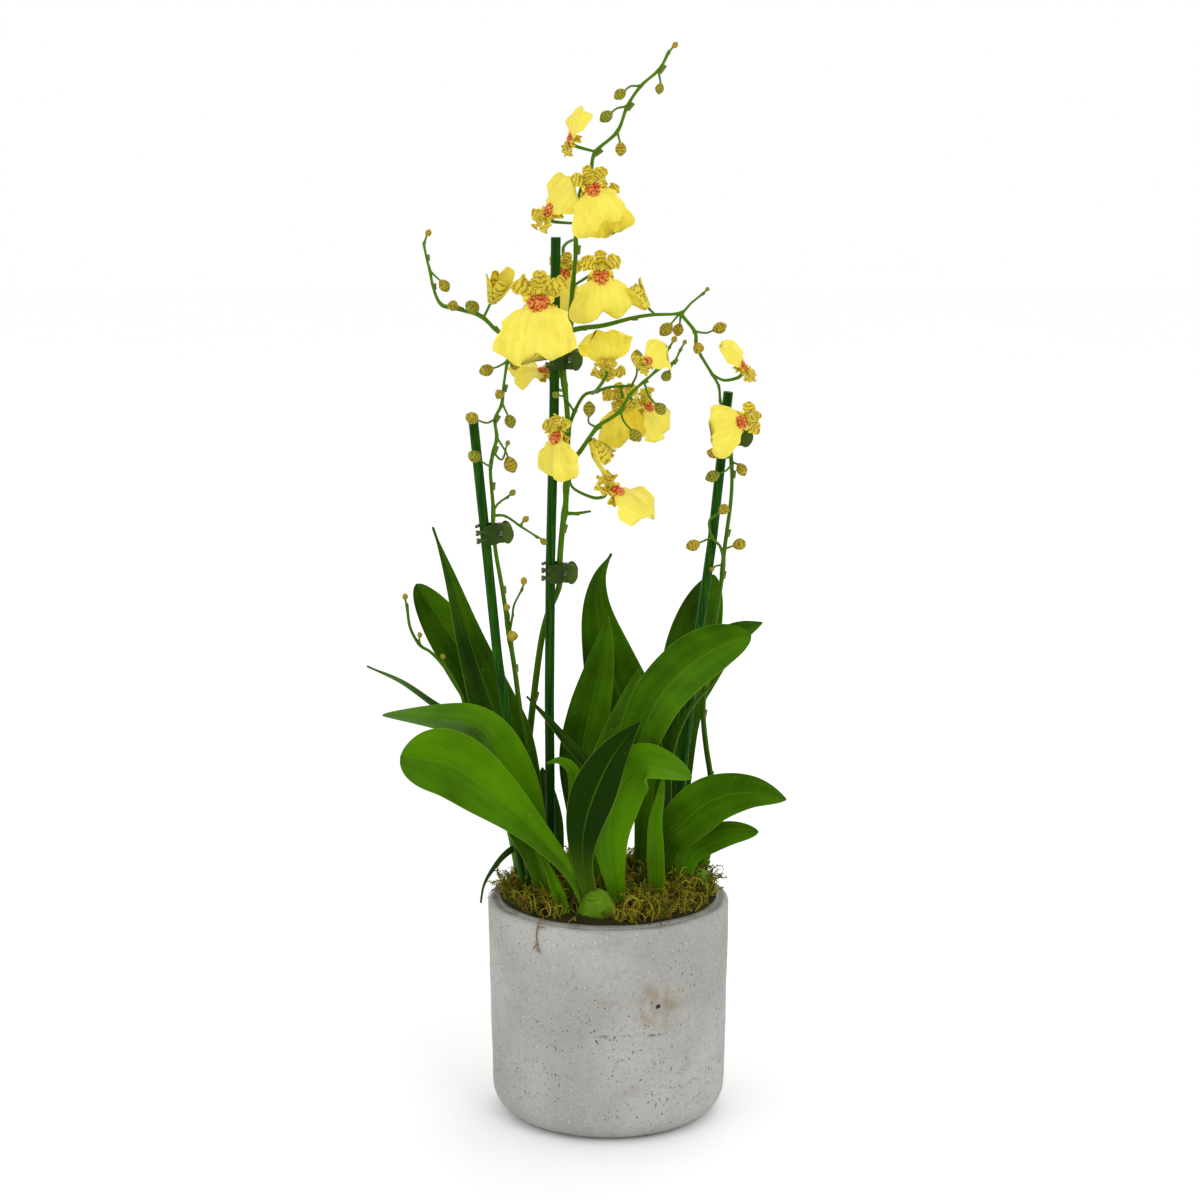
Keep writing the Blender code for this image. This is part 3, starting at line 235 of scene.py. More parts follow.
# %% A draft gathers rings and makes one mesh of them
class Draft:
    """Rings, the map that they carry and their finishes, gathered until one mesh is made."""

    def __init__(self):
        self.points, self.faces, self.laid, self.finishes = [], [], [], []
        self.tones, self.sides = [], []

    def rings(self, rings, laid=None, finish=0, tone=0.5, under=None):
        """A closed body. laid(row, index) is the map at a point of a ring."""
        first, count, rows = len(self.points), len(rings[0]), len(rings)
        laid = laid or (lambda row, index: (index / count, row / (rows - 1)))
        for ring in rings:
            self.points += [tuple(point) for point in ring]
            self.tones += [tone] * count
            self.sides += [float(under(index)) if under else 0.0 for index in range(count)]
        for row in range(rows - 1):
            for index in range(count):
                near, far = first + row * count, first + (row + 1) * count
                following = (index + 1) % count
                self.faces.append((near + index, near + following, far + following, far + index))
                self.laid.append((laid(row, index), laid(row, index + 1),
                                  laid(row + 1, index + 1), laid(row + 1, index)))
        for row, order in ((0, range(count - 1, -1, -1)), (rows - 1, range(count))):
            self.faces.append(tuple(first + row * count + index for index in order))
            self.laid.append(tuple(laid(row, index) for index in order))
        self.finishes += [finish] * ((rows - 1) * count + 2)

    def make(self, name, *finishes, place=None, tones=True, sharp=55):
        """The mesh, as an object at the origin."""
        mesh = bpy.data.meshes.new(name)
        place = place or Matrix.Identity(4)
        mesh.from_pydata([(place @ Vector(point)) * MM for point in self.points], [], self.faces)
        mesh.uv_layers.new(name="laid").data.foreach_set(
            "uv", [value for face in self.laid for corner in face for value in corner])
        mesh.polygons.foreach_set("material_index", self.finishes)
        for finish in finishes:
            mesh.materials.append(finish)
        for key, values in (("tone", self.tones), ("under", self.sides)) if tones else ():
            mesh.attributes.new(key, "FLOAT", "POINT").data.foreach_set("value", values)
        work = bmesh.new()
        work.from_mesh(mesh)
        bmesh.ops.recalc_face_normals(work, faces=work.faces)
        work.to_mesh(mesh)
        work.free()
        mesh.shade_smooth()
        mesh.set_sharp_from_angle(angle=math.radians(sharp))
        made = bpy.data.objects.new(name, mesh)
        bpy.context.scene.collection.objects.link(made)
        return made


def triangles(obj):
    return sum(len(face.vertices) - 2 for face in obj.data.polygons)


def dress(piece, slot, *nodes, body=PLANT):
    """The piece rides on its body and stands for the nodes. The slot is not used."""
    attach(piece, body)
    if nodes:
        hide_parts(*nodes)
    print(f"{piece.name}: {triangles(piece)} triangles")
    return piece


# %% Curves
def curve_through(points, count):
    """Points spaced evenly along a smooth curve through the given ones."""
    knots = [Vector(p) for p in points]
    ends = [2 * knots[0] - knots[1], *knots, 2 * knots[-1] - knots[-2]]
    fine = []
    for before, start, stop, after in zip(ends, ends[1:], ends[2:], ends[3:]):
        for step in range(8):
            t = step / 8
            fine.append(0.5 * (2 * start + (stop - before) * t
                               + (2 * before - 5 * start + 4 * stop - after) * t * t
                               + (3 * start - before - 3 * stop + after) * t ** 3))
    fine.append(knots[-1])
    walked = np.cumsum([0.0] + [(b - a).length for a, b in zip(fine, fine[1:])])
    wanted = np.linspace(0, walked[-1], count)
    columns = np.array([tuple(point) for point in fine]).T
    return [Vector(point) for point in zip(*(np.interp(wanted, walked, part) for part in columns))]


def profile(*pairs):
    """A smooth function through pairs of share and value."""
    fine = np.array([tuple(p) for p in curve_through([(a, b, 0) for a, b in pairs], 80)])
    return lambda share: float(np.interp(share, fine[:, 0], fine[:, 1]))


def nearest_on(lines, point):
    """The point of the lines that lies nearest."""
    best = None
    for line in lines:
        for start, stop in zip(line, line[1:]):
            leg = stop - start
            share = min(max((point - start).dot(leg) / max(leg.length_squared, 1e-9), 0), 1)
            there = start + leg * share
            if best is None or (there - point).length < (best - point).length:
                best = there
    return best


def along_line(line, share):
    """The point at this share of an evenly spaced line, and the number of its leg."""
    legs = len(line) - 1
    index = min(int(share * legs), legs - 1)
    return line[index].lerp(line[index + 1], share * legs - index), index


# %% Tubes, balls and sheets
def tube(points, radii, sides):
    """Rings of a round bar along the points, with a radius at each."""
    rings, aside = [], None
    for index, point in enumerate(points):
        way = (points[min(index + 1, len(points) - 1)] - points[max(index - 1, 0)]).normalized()
        aside = aside or way.orthogonal()
        aside = (aside - way * aside.dot(way)).normalized()
        other = way.cross(aside)
        rings.append([point + (aside * math.cos(turn) + other * math.sin(turn)) * radii[index]
                      for turn in (math.tau * step / sides for step in range(sides))])
    return rings


def ball(centre, way, half_sizes, sides, rows, swell=None):
    """Rings of a ball with its poles along the way. swell(turn, share) changes its radius."""
    turned = Vector(way).to_track_quat("Z", "Y").to_matrix()
    rings = []
    for row in range(rows + 1):
        share = 0.02 + 0.96 * row / rows
        high, wide = -math.cos(math.pi * share), math.sin(math.pi * share)
        ring = []
        for step in range(sides):
            turn = math.tau * step / sides
            reach = wide * (swell(turn, share) if swell else 1.0)
            local = Vector((math.cos(turn) * reach * half_sizes[0],
                            math.sin(turn) * reach * half_sizes[1], high * half_sizes[2]))
            ring.append(Vector(centre) + turned @ local)
        rings.append(ring)
    return rings


def sheet(place, across, along, thickness):
    """Rings of a thin sheet. place(u, v) is its middle, u from -1 to 1 and v from 0 to 1."""
    us, vs = np.linspace(-1, 1, across + 1), np.linspace(0, 1, along + 1)
    middle = np.array([[tuple(place(u, v)) for u in us] for v in vs])
    normal = np.cross(np.gradient(middle, axis=1), np.gradient(middle, axis=0))
    normal /= np.linalg.norm(normal, axis=2, keepdims=True) + 1e-9
    half = np.array([[thickness(u, v) / 2 for u in us] for v in vs])[..., None]
    return [list(top) + list(bottom[::-1])
            for top, bottom in zip(middle + normal * half, middle - normal * half)]


def add_sheet(draft, place, across, along, thickness, finish=0, tone=0.5):
    """A sheet whose two faces share one map."""
    count = 2 * across + 2

    def laid(row, index):
        index %= count
        return (index / across if index <= across else (count - 1 - index) / across, row / along)

    draft.rings(sheet(place, across, along, thickness), laid, finish, tone,
                under=lambda index: index > across)


# %% [markdown]
# ## The pot
# The pot is cast concrete, straight at the sides with a soft rounded foot, pale grey, pitted by air
# bubbles and flecked with white. Its outline is turned about the middle, and a slow noise moves the
# wall by a fraction of a millimetre, because a cast wall is never quite true. The rest is in the
# finish. Bubbles are cells scattered in space, kept only where a random number of the cell allows it,
# and flecks are the peaks of a fine noise. The stain with a chip in it, and the thin seam, have places
# of their own, and the top of the rim is damp.

# %% Concrete
STAIN_AT = (0.0302, -0.0686, 0.0885)
SEAM_HEIGHT = 0.0742
SEAM_STARTS = (-0.012, 0.0)
SEAM_ENDS = (0.038, 0.052)
DAMP_STARTS = (0.1392, 0.1412)
concrete = Finish("cast concrete", roughness=0.9, specular_ior_level=0.25)
east, height = (concrete.part(concrete.place, axis) for axis in (0, 2))

# Holes are looked up at a place that wanders by up to 3 mm, which makes them ragged.
wander = concrete.add("ShaderNodeTexNoise", {}, {"Vector": concrete.place, "Scale": 700.0}, 1)
ragged = concrete.add("ShaderNodeVectorMath", {"operation": "MULTIPLY_ADD"},
                      {0: wander, 1: (0.003, 0.003, 0.003), 2: concrete.place})


def bubbles(scale, radius, chosen):
    """Where small holes lie: cells to the metre, radius as a share of a cell, share of cells left out."""
    sockets = {"Vector": ragged, "Scale": scale}
    lucky = concrete.part(concrete.add("ShaderNodeTexVoronoi", {}, sockets, 1), 0)
    near = 1 - concrete.smooth(concrete.add("ShaderNodeTexVoronoi", {}, sockets), radius * 0.6, radius)
    return near * concrete.smooth(lucky, chosen, chosen + 0.02)


cloud = concrete.smooth(concrete.grain(14, 5), 0.35, 0.68)
dust = concrete.smooth(concrete.grain(420, 2), 0.45, 0.8)
scuffs = concrete.smooth(concrete.grain(1, 5, concrete.stretched((46, 46, 90))), 0.56, 0.74)
patchy = concrete.smooth(concrete.grain(22, 2), 0.4, 0.58)
# The pits are dents in the bump and are also painted dark: painted shade inside the holes.
pits = (bubbles(420, 0.24, 0.62) * patchy).maths("MAXIMUM", bubbles(170, 0.13, 0.72))
flecks = concrete.smooth(concrete.grain(760, 2), 0.64, 0.68) * (1 - patchy)

from_stain = concrete.add("ShaderNodeVectorMath", {"operation": "DISTANCE"},
                          {0: concrete.place, 1: STAIN_AT})
streaked = concrete.smooth(concrete.grain(1, 4, concrete.stretched((150, 150, 90))), 0.28, 0.66)
stained = (1 - concrete.smooth(from_stain + concrete.grain(120, 4) * 0.02, 0.012, 0.032)) * streaked
# The chip is a dent in the bump and is painted near black: painted shade in its hollow.
chipped = 1 - concrete.smooth(from_stain + concrete.grain(420, 3) * 0.006, 0.0042, 0.0048)

from_seam = (height + concrete.grain(90, 4) * 0.006 - SEAM_HEIGHT).maths("ABSOLUTE")
broken = concrete.smooth(concrete.grain(170, 3), 0.48, 0.6)
seam = (1 - concrete.smooth(from_seam, 0.0003, 0.0013)) * broken
seam = seam * concrete.smooth(east, *SEAM_STARTS) * (1 - concrete.smooth(east, *SEAM_ENDS))
damp = concrete.smooth(height + concrete.grain(60, 3) * 0.003, *DAMP_STARTS)

soiled = concrete.layered(
    concrete.mix(cloud, tint(156, 155, 150), tint(174, 173, 168)),
    (dust * 0.5, tint(138, 134, 126)), (scuffs * 0.3, tint(134, 128, 116)),
    (pits * 0.9, tint(70, 62, 52)), (flecks, tint(206, 205, 202)),
    (stained * 0.6, tint(124, 100, 62)), (chipped, tint(52, 40, 26)),
    (seam * 0.7, tint(104, 98, 86)), (damp * 0.75, tint(84, 88, 74)))
grit = concrete.grain(900, 2) * 0.3 - pits - chipped + flecks * 0.3 + concrete.grain(120, 3) * 0.5
cast_concrete = concrete.paint(soiled, height=grit, depth=0.0006)

# %% Pot
POT_OUTLINE = ((30, 10), (60, 10), (66.5, 16), (67.2, 60), (68, 135), (68.6, 137.2), (69.8, 138.5),
               (71.4, 139), (73.2, 138.9), (74.7, 138.2), (75.6, 136.8), (76, 135), (75.6, 110),
               (75.1, 85), (74.4, 55.6), (74.0, 36), (73.6, 18), (72.2, 11.1), (68.3, 5.3),
               (62.5, 1.4), (55.6, 0), (30, 0))
POT_SIDES = 192
POT_ROWS = 110


def pot_ring(radius, height_here):
    """A ring of the pot, moved by a slow noise."""
    ring = []
    for step in range(POT_SIDES):
        turn = math.tau * step / POT_SIDES
        spot = Vector((math.cos(turn) * radius, math.sin(turn) * radius, height_here))
        uneven = 0.35 * noise.noise(spot / 22) + 0.12 * noise.noise(spot / 5)
        lift = 0.25 * noise.noise(spot / 9 + Vector((7, 0, 0))) * (height_here > 130)
        ring.append((spot.x * (1 + uneven / radius), spot.y * (1 + uneven / radius), height_here + lift))
    return ring


pot_draft = Draft()
pot_draft.rings([pot_ring(p.x, p.z) for p in
                 curve_through([(r, 0, z) for r, z in POT_OUTLINE], POT_ROWS)])
dress(pot_draft.make("pot_cast", cast_concrete), "concrete", "pot")

# %% [markdown]
# A dry root hangs over the rim at the front. It is a few crooked tubes that lie on the wall.

# %% Dry root
dry = Finish("dry root", roughness=0.85)
dry_root = dry.paint(dry.mix(dry.grain(900), tint(150, 112, 70), tint(96, 66, 36)),
                     height=dry.grain(1500), depth=0.0002)
ROOTS = (
    ((-40, -56, 141), (-42.6, -61.6, 140.3), (-43.6, -63.2, 137), (-44.2, -62.6, 131),
     (-43.4, -63.4, 126), (-44.0, -62.8, 121.5)),
    ((-43.6, -63.2, 137), (-41.4, -64.4, 138.2), (-38.4, -66.2, 138.0)),
    ((-43.6, -63.2, 127), (-45.4, -62.0, 124.5), (-46.2, -61.2, 122.8)),
    ((-43.9, -63.0, 124), (-42.2, -64.0, 122.2), (-41.9, -64.2, 120.8)),
)
ROOT_POINTS = 16
root_draft = Draft()
for route in ROOTS:
    line = curve_through(route, ROOT_POINTS)
    root_draft.rings(tube(line, [0.55 - 0.3 * i / (ROOT_POINTS - 1) for i in range(ROOT_POINTS)], 7))
dress(root_draft.make("dry_root", dry_root), "bark_mix")

# %% [markdown]
# ## The moss
# Sheet moss covers the bark: a lumpy mound with thousands of curled sprigs, olive and gold, with dead
# brown threads among them. Sprigs repeat over a surface, so one Geometry Nodes tree plants them. Its
# named inputs say how many stand on a square metre, how large they are and how far they lean, and
# three kinds of sprig use the same tree.

# %% Moss finishes
def moss_finish(name, dark, light):
    green = Finish(name, roughness=0.9, specular_ior_level=0.2)
    shade = green.carried("tone") + green.grain(700, 2) * 0.5 - 0.25
    return green.paint(green.mix(green.smooth(shade, 0, 1), dark, light))


humus = moss_finish("moss bed", tint(26, 22, 6), tint(62, 56, 12))
leafy_moss = moss_finish("leafy moss", tint(60, 66, 6), tint(140, 138, 22))
curly_moss = moss_finish("curly moss", tint(82, 78, 8), tint(168, 152, 40))
dead_moss = moss_finish("dead moss", tint(62, 36, 10), tint(136, 90, 34))

# %% Mound
MOSS_RADIUS = 67.8
POT_INSIDE = 68
EDGE_HEIGHT = 141
DOME_HEIGHT = 5
HUMMOCK_AT = (50, 8)
HUMMOCK_HEIGHT = 7
HUMMOCK_WIDTH = 20
LUMP_HEIGHT = 3
LUMP_WIDTH = 11
MOUND_ROWS = 46


def moss_height(x, y):
    edge = min(math.hypot(x, y) / POT_INSIDE, 1)
    away = (x - HUMMOCK_AT[0]) ** 2 + (y - HUMMOCK_AT[1]) ** 2
    hummock = HUMMOCK_HEIGHT * math.exp(-away / HUMMOCK_WIDTH ** 2) * (1 - 0.5 * edge ** 8)
    lumps = LUMP_HEIGHT * noise.noise(Vector((x / LUMP_WIDTH, y / LUMP_WIDTH, 0.5))) * (1 - 0.4 * edge)
    return EDGE_HEIGHT + DOME_HEIGHT * (1 - edge ** 2) + hummock + lumps


def moss_ring(radius, drop, sides=150):
    ring = []
    for step in range(sides):
        turn = math.tau * step / sides
        x, y = math.cos(turn) * radius, math.sin(turn) * radius
        crumb = 1.1 * noise.noise(Vector((x / 3.2, y / 3.2, 3))) + 0.6 * noise.noise(Vector((x, y, 9)))
        ring.append((x, y, moss_height(x, y) + crumb - drop))
    return ring


mound_draft = Draft()
mound_draft.rings([moss_ring(1 + (MOSS_RADIUS - 1) * row / MOUND_ROWS, 0)
                   for row in range(MOUND_ROWS + 1)]
                  + [moss_ring(MOSS_RADIUS, drop) for drop in (2, 5)]
                  + [moss_ring(MOSS_RADIUS * 0.5, 12)], tone=0.35)
mound = mound_draft.make("moss_bed", humus)

# %% The planting tree
class Plan(Recipe):
    """A Geometry Nodes tree with named inputs, which ends in a real mesh with one finish."""

    def __init__(self, name, **inputs):
        super().__init__(bpy.data.node_groups.new(name, "GeometryNodeTree"))
        kinds = {"Geometry": "Geometry", "Template": "Object", **inputs, "Finish": "Material"}
        for key, kind in kinds.items():
            self.tree.interface.new_socket(name=key, in_out="INPUT", socket_type=f"NodeSocket{kind}")
        self.tree.interface.new_socket(name="Geometry", in_out="OUTPUT",
                                       socket_type="NodeSocketGeometry")
        source = self.tree.nodes.new("NodeGroupInput")
        self.given = {key: Wire(self, source.outputs[key]) for key in kinds}

    def stand(self, points, turned, size):
        """Stands the template on the points, and makes all of it real."""
        template = self.add("GeometryNodeObjectInfo", {}, {"Object": self.given["Template"]}, 4)
        standing = self.add("GeometryNodeInstanceOnPoints", {},
                            {"Points": points, "Instance": template, "Rotation": turned, "Scale": size})
        real = self.add("GeometryNodeRealizeInstances", {}, {"Geometry": standing})
        done = self.add("GeometryNodeSetMaterial", {},
                        {"Geometry": real, "Material": self.given["Finish"]})
        self.tree.links.new(done.socket, self.tree.nodes.new("NodeGroupOutput").inputs[0])
        return self.tree


def planting_tree():
    """Stands a template all over a surface: so many to the square metre, each turned, sized and toned."""
    plan = Plan("Planting", Density="Float", Smallest="Float", Largest="Float", Lean="Float", Seed="Int")
    given = plan.given

    def drawn(smallest, largest, number):
        """A random value for each point. Each number gives another seed."""
        return plan.add("FunctionNodeRandomValue", {"data_type": "FLOAT"},
                        {"Min": smallest, "Max": largest, "Seed": given["Seed"] + number})

    points = plan.add("GeometryNodeDistributePointsOnFaces", {"distribute_method": "RANDOM"},
                      {"Mesh": given["Geometry"], "Density": given["Density"], "Seed": given["Seed"]})
    lean, other = (drawn(given["Lean"] * -1, given["Lean"], number) for number in (1, 2))
    turned = plan.add("ShaderNodeCombineXYZ", {}, {0: lean, 1: other, 2: drawn(-math.pi, math.pi, 3)})
    size = drawn(given["Smallest"], given["Largest"], 4)
    marked = plan.add("GeometryNodeStoreNamedAttribute", {"data_type": "FLOAT", "domain": "POINT"},
                      {"Geometry": points, "Name": "tone", "Value": drawn(0.0, 1.0, 5)})
    return plan.stand(marked, turned, size)


def grown(name, surface, tree, template, **inputs):
    """A new plain mesh of what the tree makes on the surface."""
    host = bpy.data.objects.new(name, surface.data.copy())
    bpy.context.scene.collection.objects.link(host)
    modifier = host.modifiers.new("plan", "NODES")
    modifier.node_group = tree
    sockets = {item.name: item.identifier for item in tree.interface.items_tree
               if item.in_out == "INPUT"}
    for key, value in {"Template": template, **inputs}.items():
        modifier[sockets[key]] = value
    ready = host.evaluated_get(bpy.context.evaluated_depsgraph_get())
    plain = bpy.data.meshes.new_from_object(ready)
    host.modifiers.clear()
    host.data = plain
    plain.name = name
    return host


planting = planting_tree()
print("planting inputs:", [item.name for item in planting.interface.items_tree][1:])

# %% Sprigs: a curved stem with pointed leaflets on both sides
def spike(draft, root, tip, half_width):
    """A thin three sided spike."""
    way = tip - root
    aside = way.orthogonal().normalized() * half_width
    other = way.cross(aside).normalized() * half_width
    draft.rings([[root + aside, root - aside * 0.5 + other * 0.9, root - aside * 0.5 - other * 0.9],
                 [tip + aside * 0.1, tip - aside * 0.05 + other * 0.09, tip - aside * 0.05 - other * 0.09]])


def sprig(name, route, leaflets, leaflet_length, stem_radius, seed):
    """A sprig that grows from the origin along the route."""
    chance = random.Random(seed)
    draft = Draft()
    line = curve_through(route, 7)
    draft.rings(tube(line, [stem_radius * (1 - 0.1 * i) for i in range(7)], 3))
    for number in range(leaflets):
        share = (number + 1.5) / (leaflets + 1)
        root, index = along_line(line, share)
        way = (line[index + 1] - line[index]).normalized()
        aside = way.orthogonal().normalized()
        turn = math.pi * number + chance.uniform(-0.7, 0.7)
        out = aside * math.cos(turn) + way.cross(aside) * math.sin(turn)
        length = leaflet_length * (1 - 0.5 * share) * chance.uniform(0.8, 1.2)
        spike(draft, root, root + (out * 0.8 + way * 0.6) * length, 0.34)
    return draft.make(name, tones=False)


leafy = sprig("leafy", ((0, 0, -1.5), (0.4, 0, 3), (1.8, 0.3, 6.5), (4.4, 0.5, 9)), 16, 3.0, 0.4, 3)
curly = sprig("curly", ((0, 0, -1.5), (-0.6, 0.4, 4), (1.2, 0.4, 8), (5, -0.6, 9), (7, -1, 6.5)),
              8, 2.0, 0.42, 5)
thread = sprig("thread", ((0, 0, -1.5), (1.5, 1, 4), (5, -1, 6), (9, 1.5, 4.6), (12, 0, 1.5)),
               2, 2.2, 0.4, 7)

# %% Plant them
MOSS_KINDS = {  # template, how many to the square metre, smallest, largest, lean, seed, finish
    "moss_leafy": (leafy, 82000, 0.6, 1.5, 0.85, 11, leafy_moss),
    "moss_curly": (curly, 60000, 0.55, 1.4, 0.85, 23, curly_moss),
    "moss_threads": (thread, 40000, 0.5, 1.2, 0.95, 37, dead_moss),
}
CROWN_ROWS = 30
CROWN_SIDES = 90
CROWN_FOOT = 0.13
crown_draft = Draft()
crown_draft.rings([moss_ring(1 + (MOSS_RADIUS - 1.6) * row / CROWN_ROWS, 0, CROWN_SIDES)
                   for row in range(CROWN_ROWS + 1)] + [moss_ring(30, 40, CROWN_SIDES)])
crown = crown_draft.make("crown", humus)
FRONT_BULB_AT = Vector((-7, -52, 139)) * MM
BULB_CLEARANCE = 0.0165
GAP_SIZE = 0.013
GAP_LEVEL = -0.22


def left_bare(face):
    """Whether no moss grows here: under the crown, round the front bulb, and in the dark gaps."""
    low = min(crown.data.vertices[i].co.z for i in face.vertices) < CROWN_FOOT
    by_bulb = (face.center - FRONT_BULB_AT).length < BULB_CLEARANCE
    return low or by_bulb or noise.noise(face.center / GAP_SIZE) < GAP_LEVEL


bare = [face.index for face in crown.data.polygons if left_bare(face)]
work = bmesh.new()
work.from_mesh(crown.data)
work.faces.ensure_lookup_table()
bmesh.ops.delete(work, geom=[work.faces[i] for i in bare], context="FACES")
work.to_mesh(crown.data)
work.free()
crown.data.attributes.remove(crown.data.attributes["tone"])
for name, (template, density, smallest, largest, lean, seed, finish) in MOSS_KINDS.items():
    dress(grown(name, crown, planting, template, Density=float(density), Smallest=smallest,
                Largest=largest, Lean=lean, Seed=seed, Finish=finish), "moss", "moss")
for helper in (crown, leafy, curly, thread):
    bpy.data.objects.remove(helper)
dress(mound, "moss", "moss")

# %% [markdown]
# Below the moss lies the bark that the roots grow in. It is a solid that hardly shows, so it keeps its
# own mesh and only gets a finish.

# %% Bark
chips = Finish("bark mix", roughness=0.95)
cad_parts["growing_medium"].data.materials.clear()
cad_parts["growing_medium"].data.materials.append(
    chips.paint(chips.mix(chips.cells(120), tint(70, 46, 26), tint(122, 84, 52)),
                height=chips.cells(120), depth=0.002))

# %% [markdown]
# ## The leaves
# Oncidium leaves are thin straps, keeled along a sunk midrib, glossy and dark green above, paler
# below, with fine lines along them and a thin pale edge. Each is a sheet that follows its own curve.
# The table gives its tone, its own green mixed with painted shade for leaves that stand in shade, its
# route, how wide it grows and where, its width at the foot, how deep its channel and how round its tip is,
# and which way its upper side looks at its foot and its tip.

# %% Leaf finish
leaf_green = Finish("leaf", specular_ior_level=0.3, specular_tint=(0.3, 0.62, 0.04, 1))
across, along = leaf_green.across_and_along()
from_midrib = (across - 0.5).maths("ABSOLUTE") * 2
lines = ((across * 130) + leaf_green.grain(40, 2) * 2).maths("SINE") * 0.5 + 0.5
streaks = ((across * 23) + leaf_green.grain(14, 3) * 9).maths("SINE") * 0.03
# One half of each leaf is painted lighter and the other darker: painted light and shade on the two faces of
# its keel.
painted_light_half = leaf_green.smooth(across, 0.46, 0.54) * 0.14 - 0.07
# The carried tone is partly each leaf's own green and partly painted shade.
shade = leaf_green.carried("tone") + (leaf_green.grain(26, 4) - 0.5) * 0.9 + streaks + painted_light_half
# along * 0.16 makes each leaf darker towards its foot: painted shade low in the clump.
shade = shade + lines * 0.07 + along * 0.16 - 0.04
rib = 1 - leaf_green.smooth(from_midrib, 0.015, 0.07)
foot = 1 - leaf_green.smooth(along, 0.04, 0.3)
worn = leaf_green.smooth(leaf_green.grain(260, 5), 0.68, 0.76)
edge = leaf_green.smooth(from_midrib, 0.965, 0.995)
upper_side = leaf_green.layered(
    leaf_green.mix(leaf_green.smooth(shade, 0, 1.1), tint(8, 34, 0), tint(78, 128, 0)),
    (rib * 0.35, tint(84, 128, 20)), (foot * 0.3, tint(92, 130, 22)), (worn * 0.25, tint(132, 140, 70)))
lower_side = leaf_green.mix(0.35, upper_side, tint(84, 122, 34))
sided = leaf_green.layered(upper_side, (leaf_green.carried("under"), lower_side),
                           (edge * 0.4, tint(120, 148, 40)))
sheen = leaf_green.grain(60, 3) * 0.25 + 0.32 + leaf_green.carried("under") * 0.15
leaf_surface = leaf_green.paint(sided, sheen, lines * 0.4 + leaf_green.grain(500, 2) * 0.3 - rib, 0.00018)

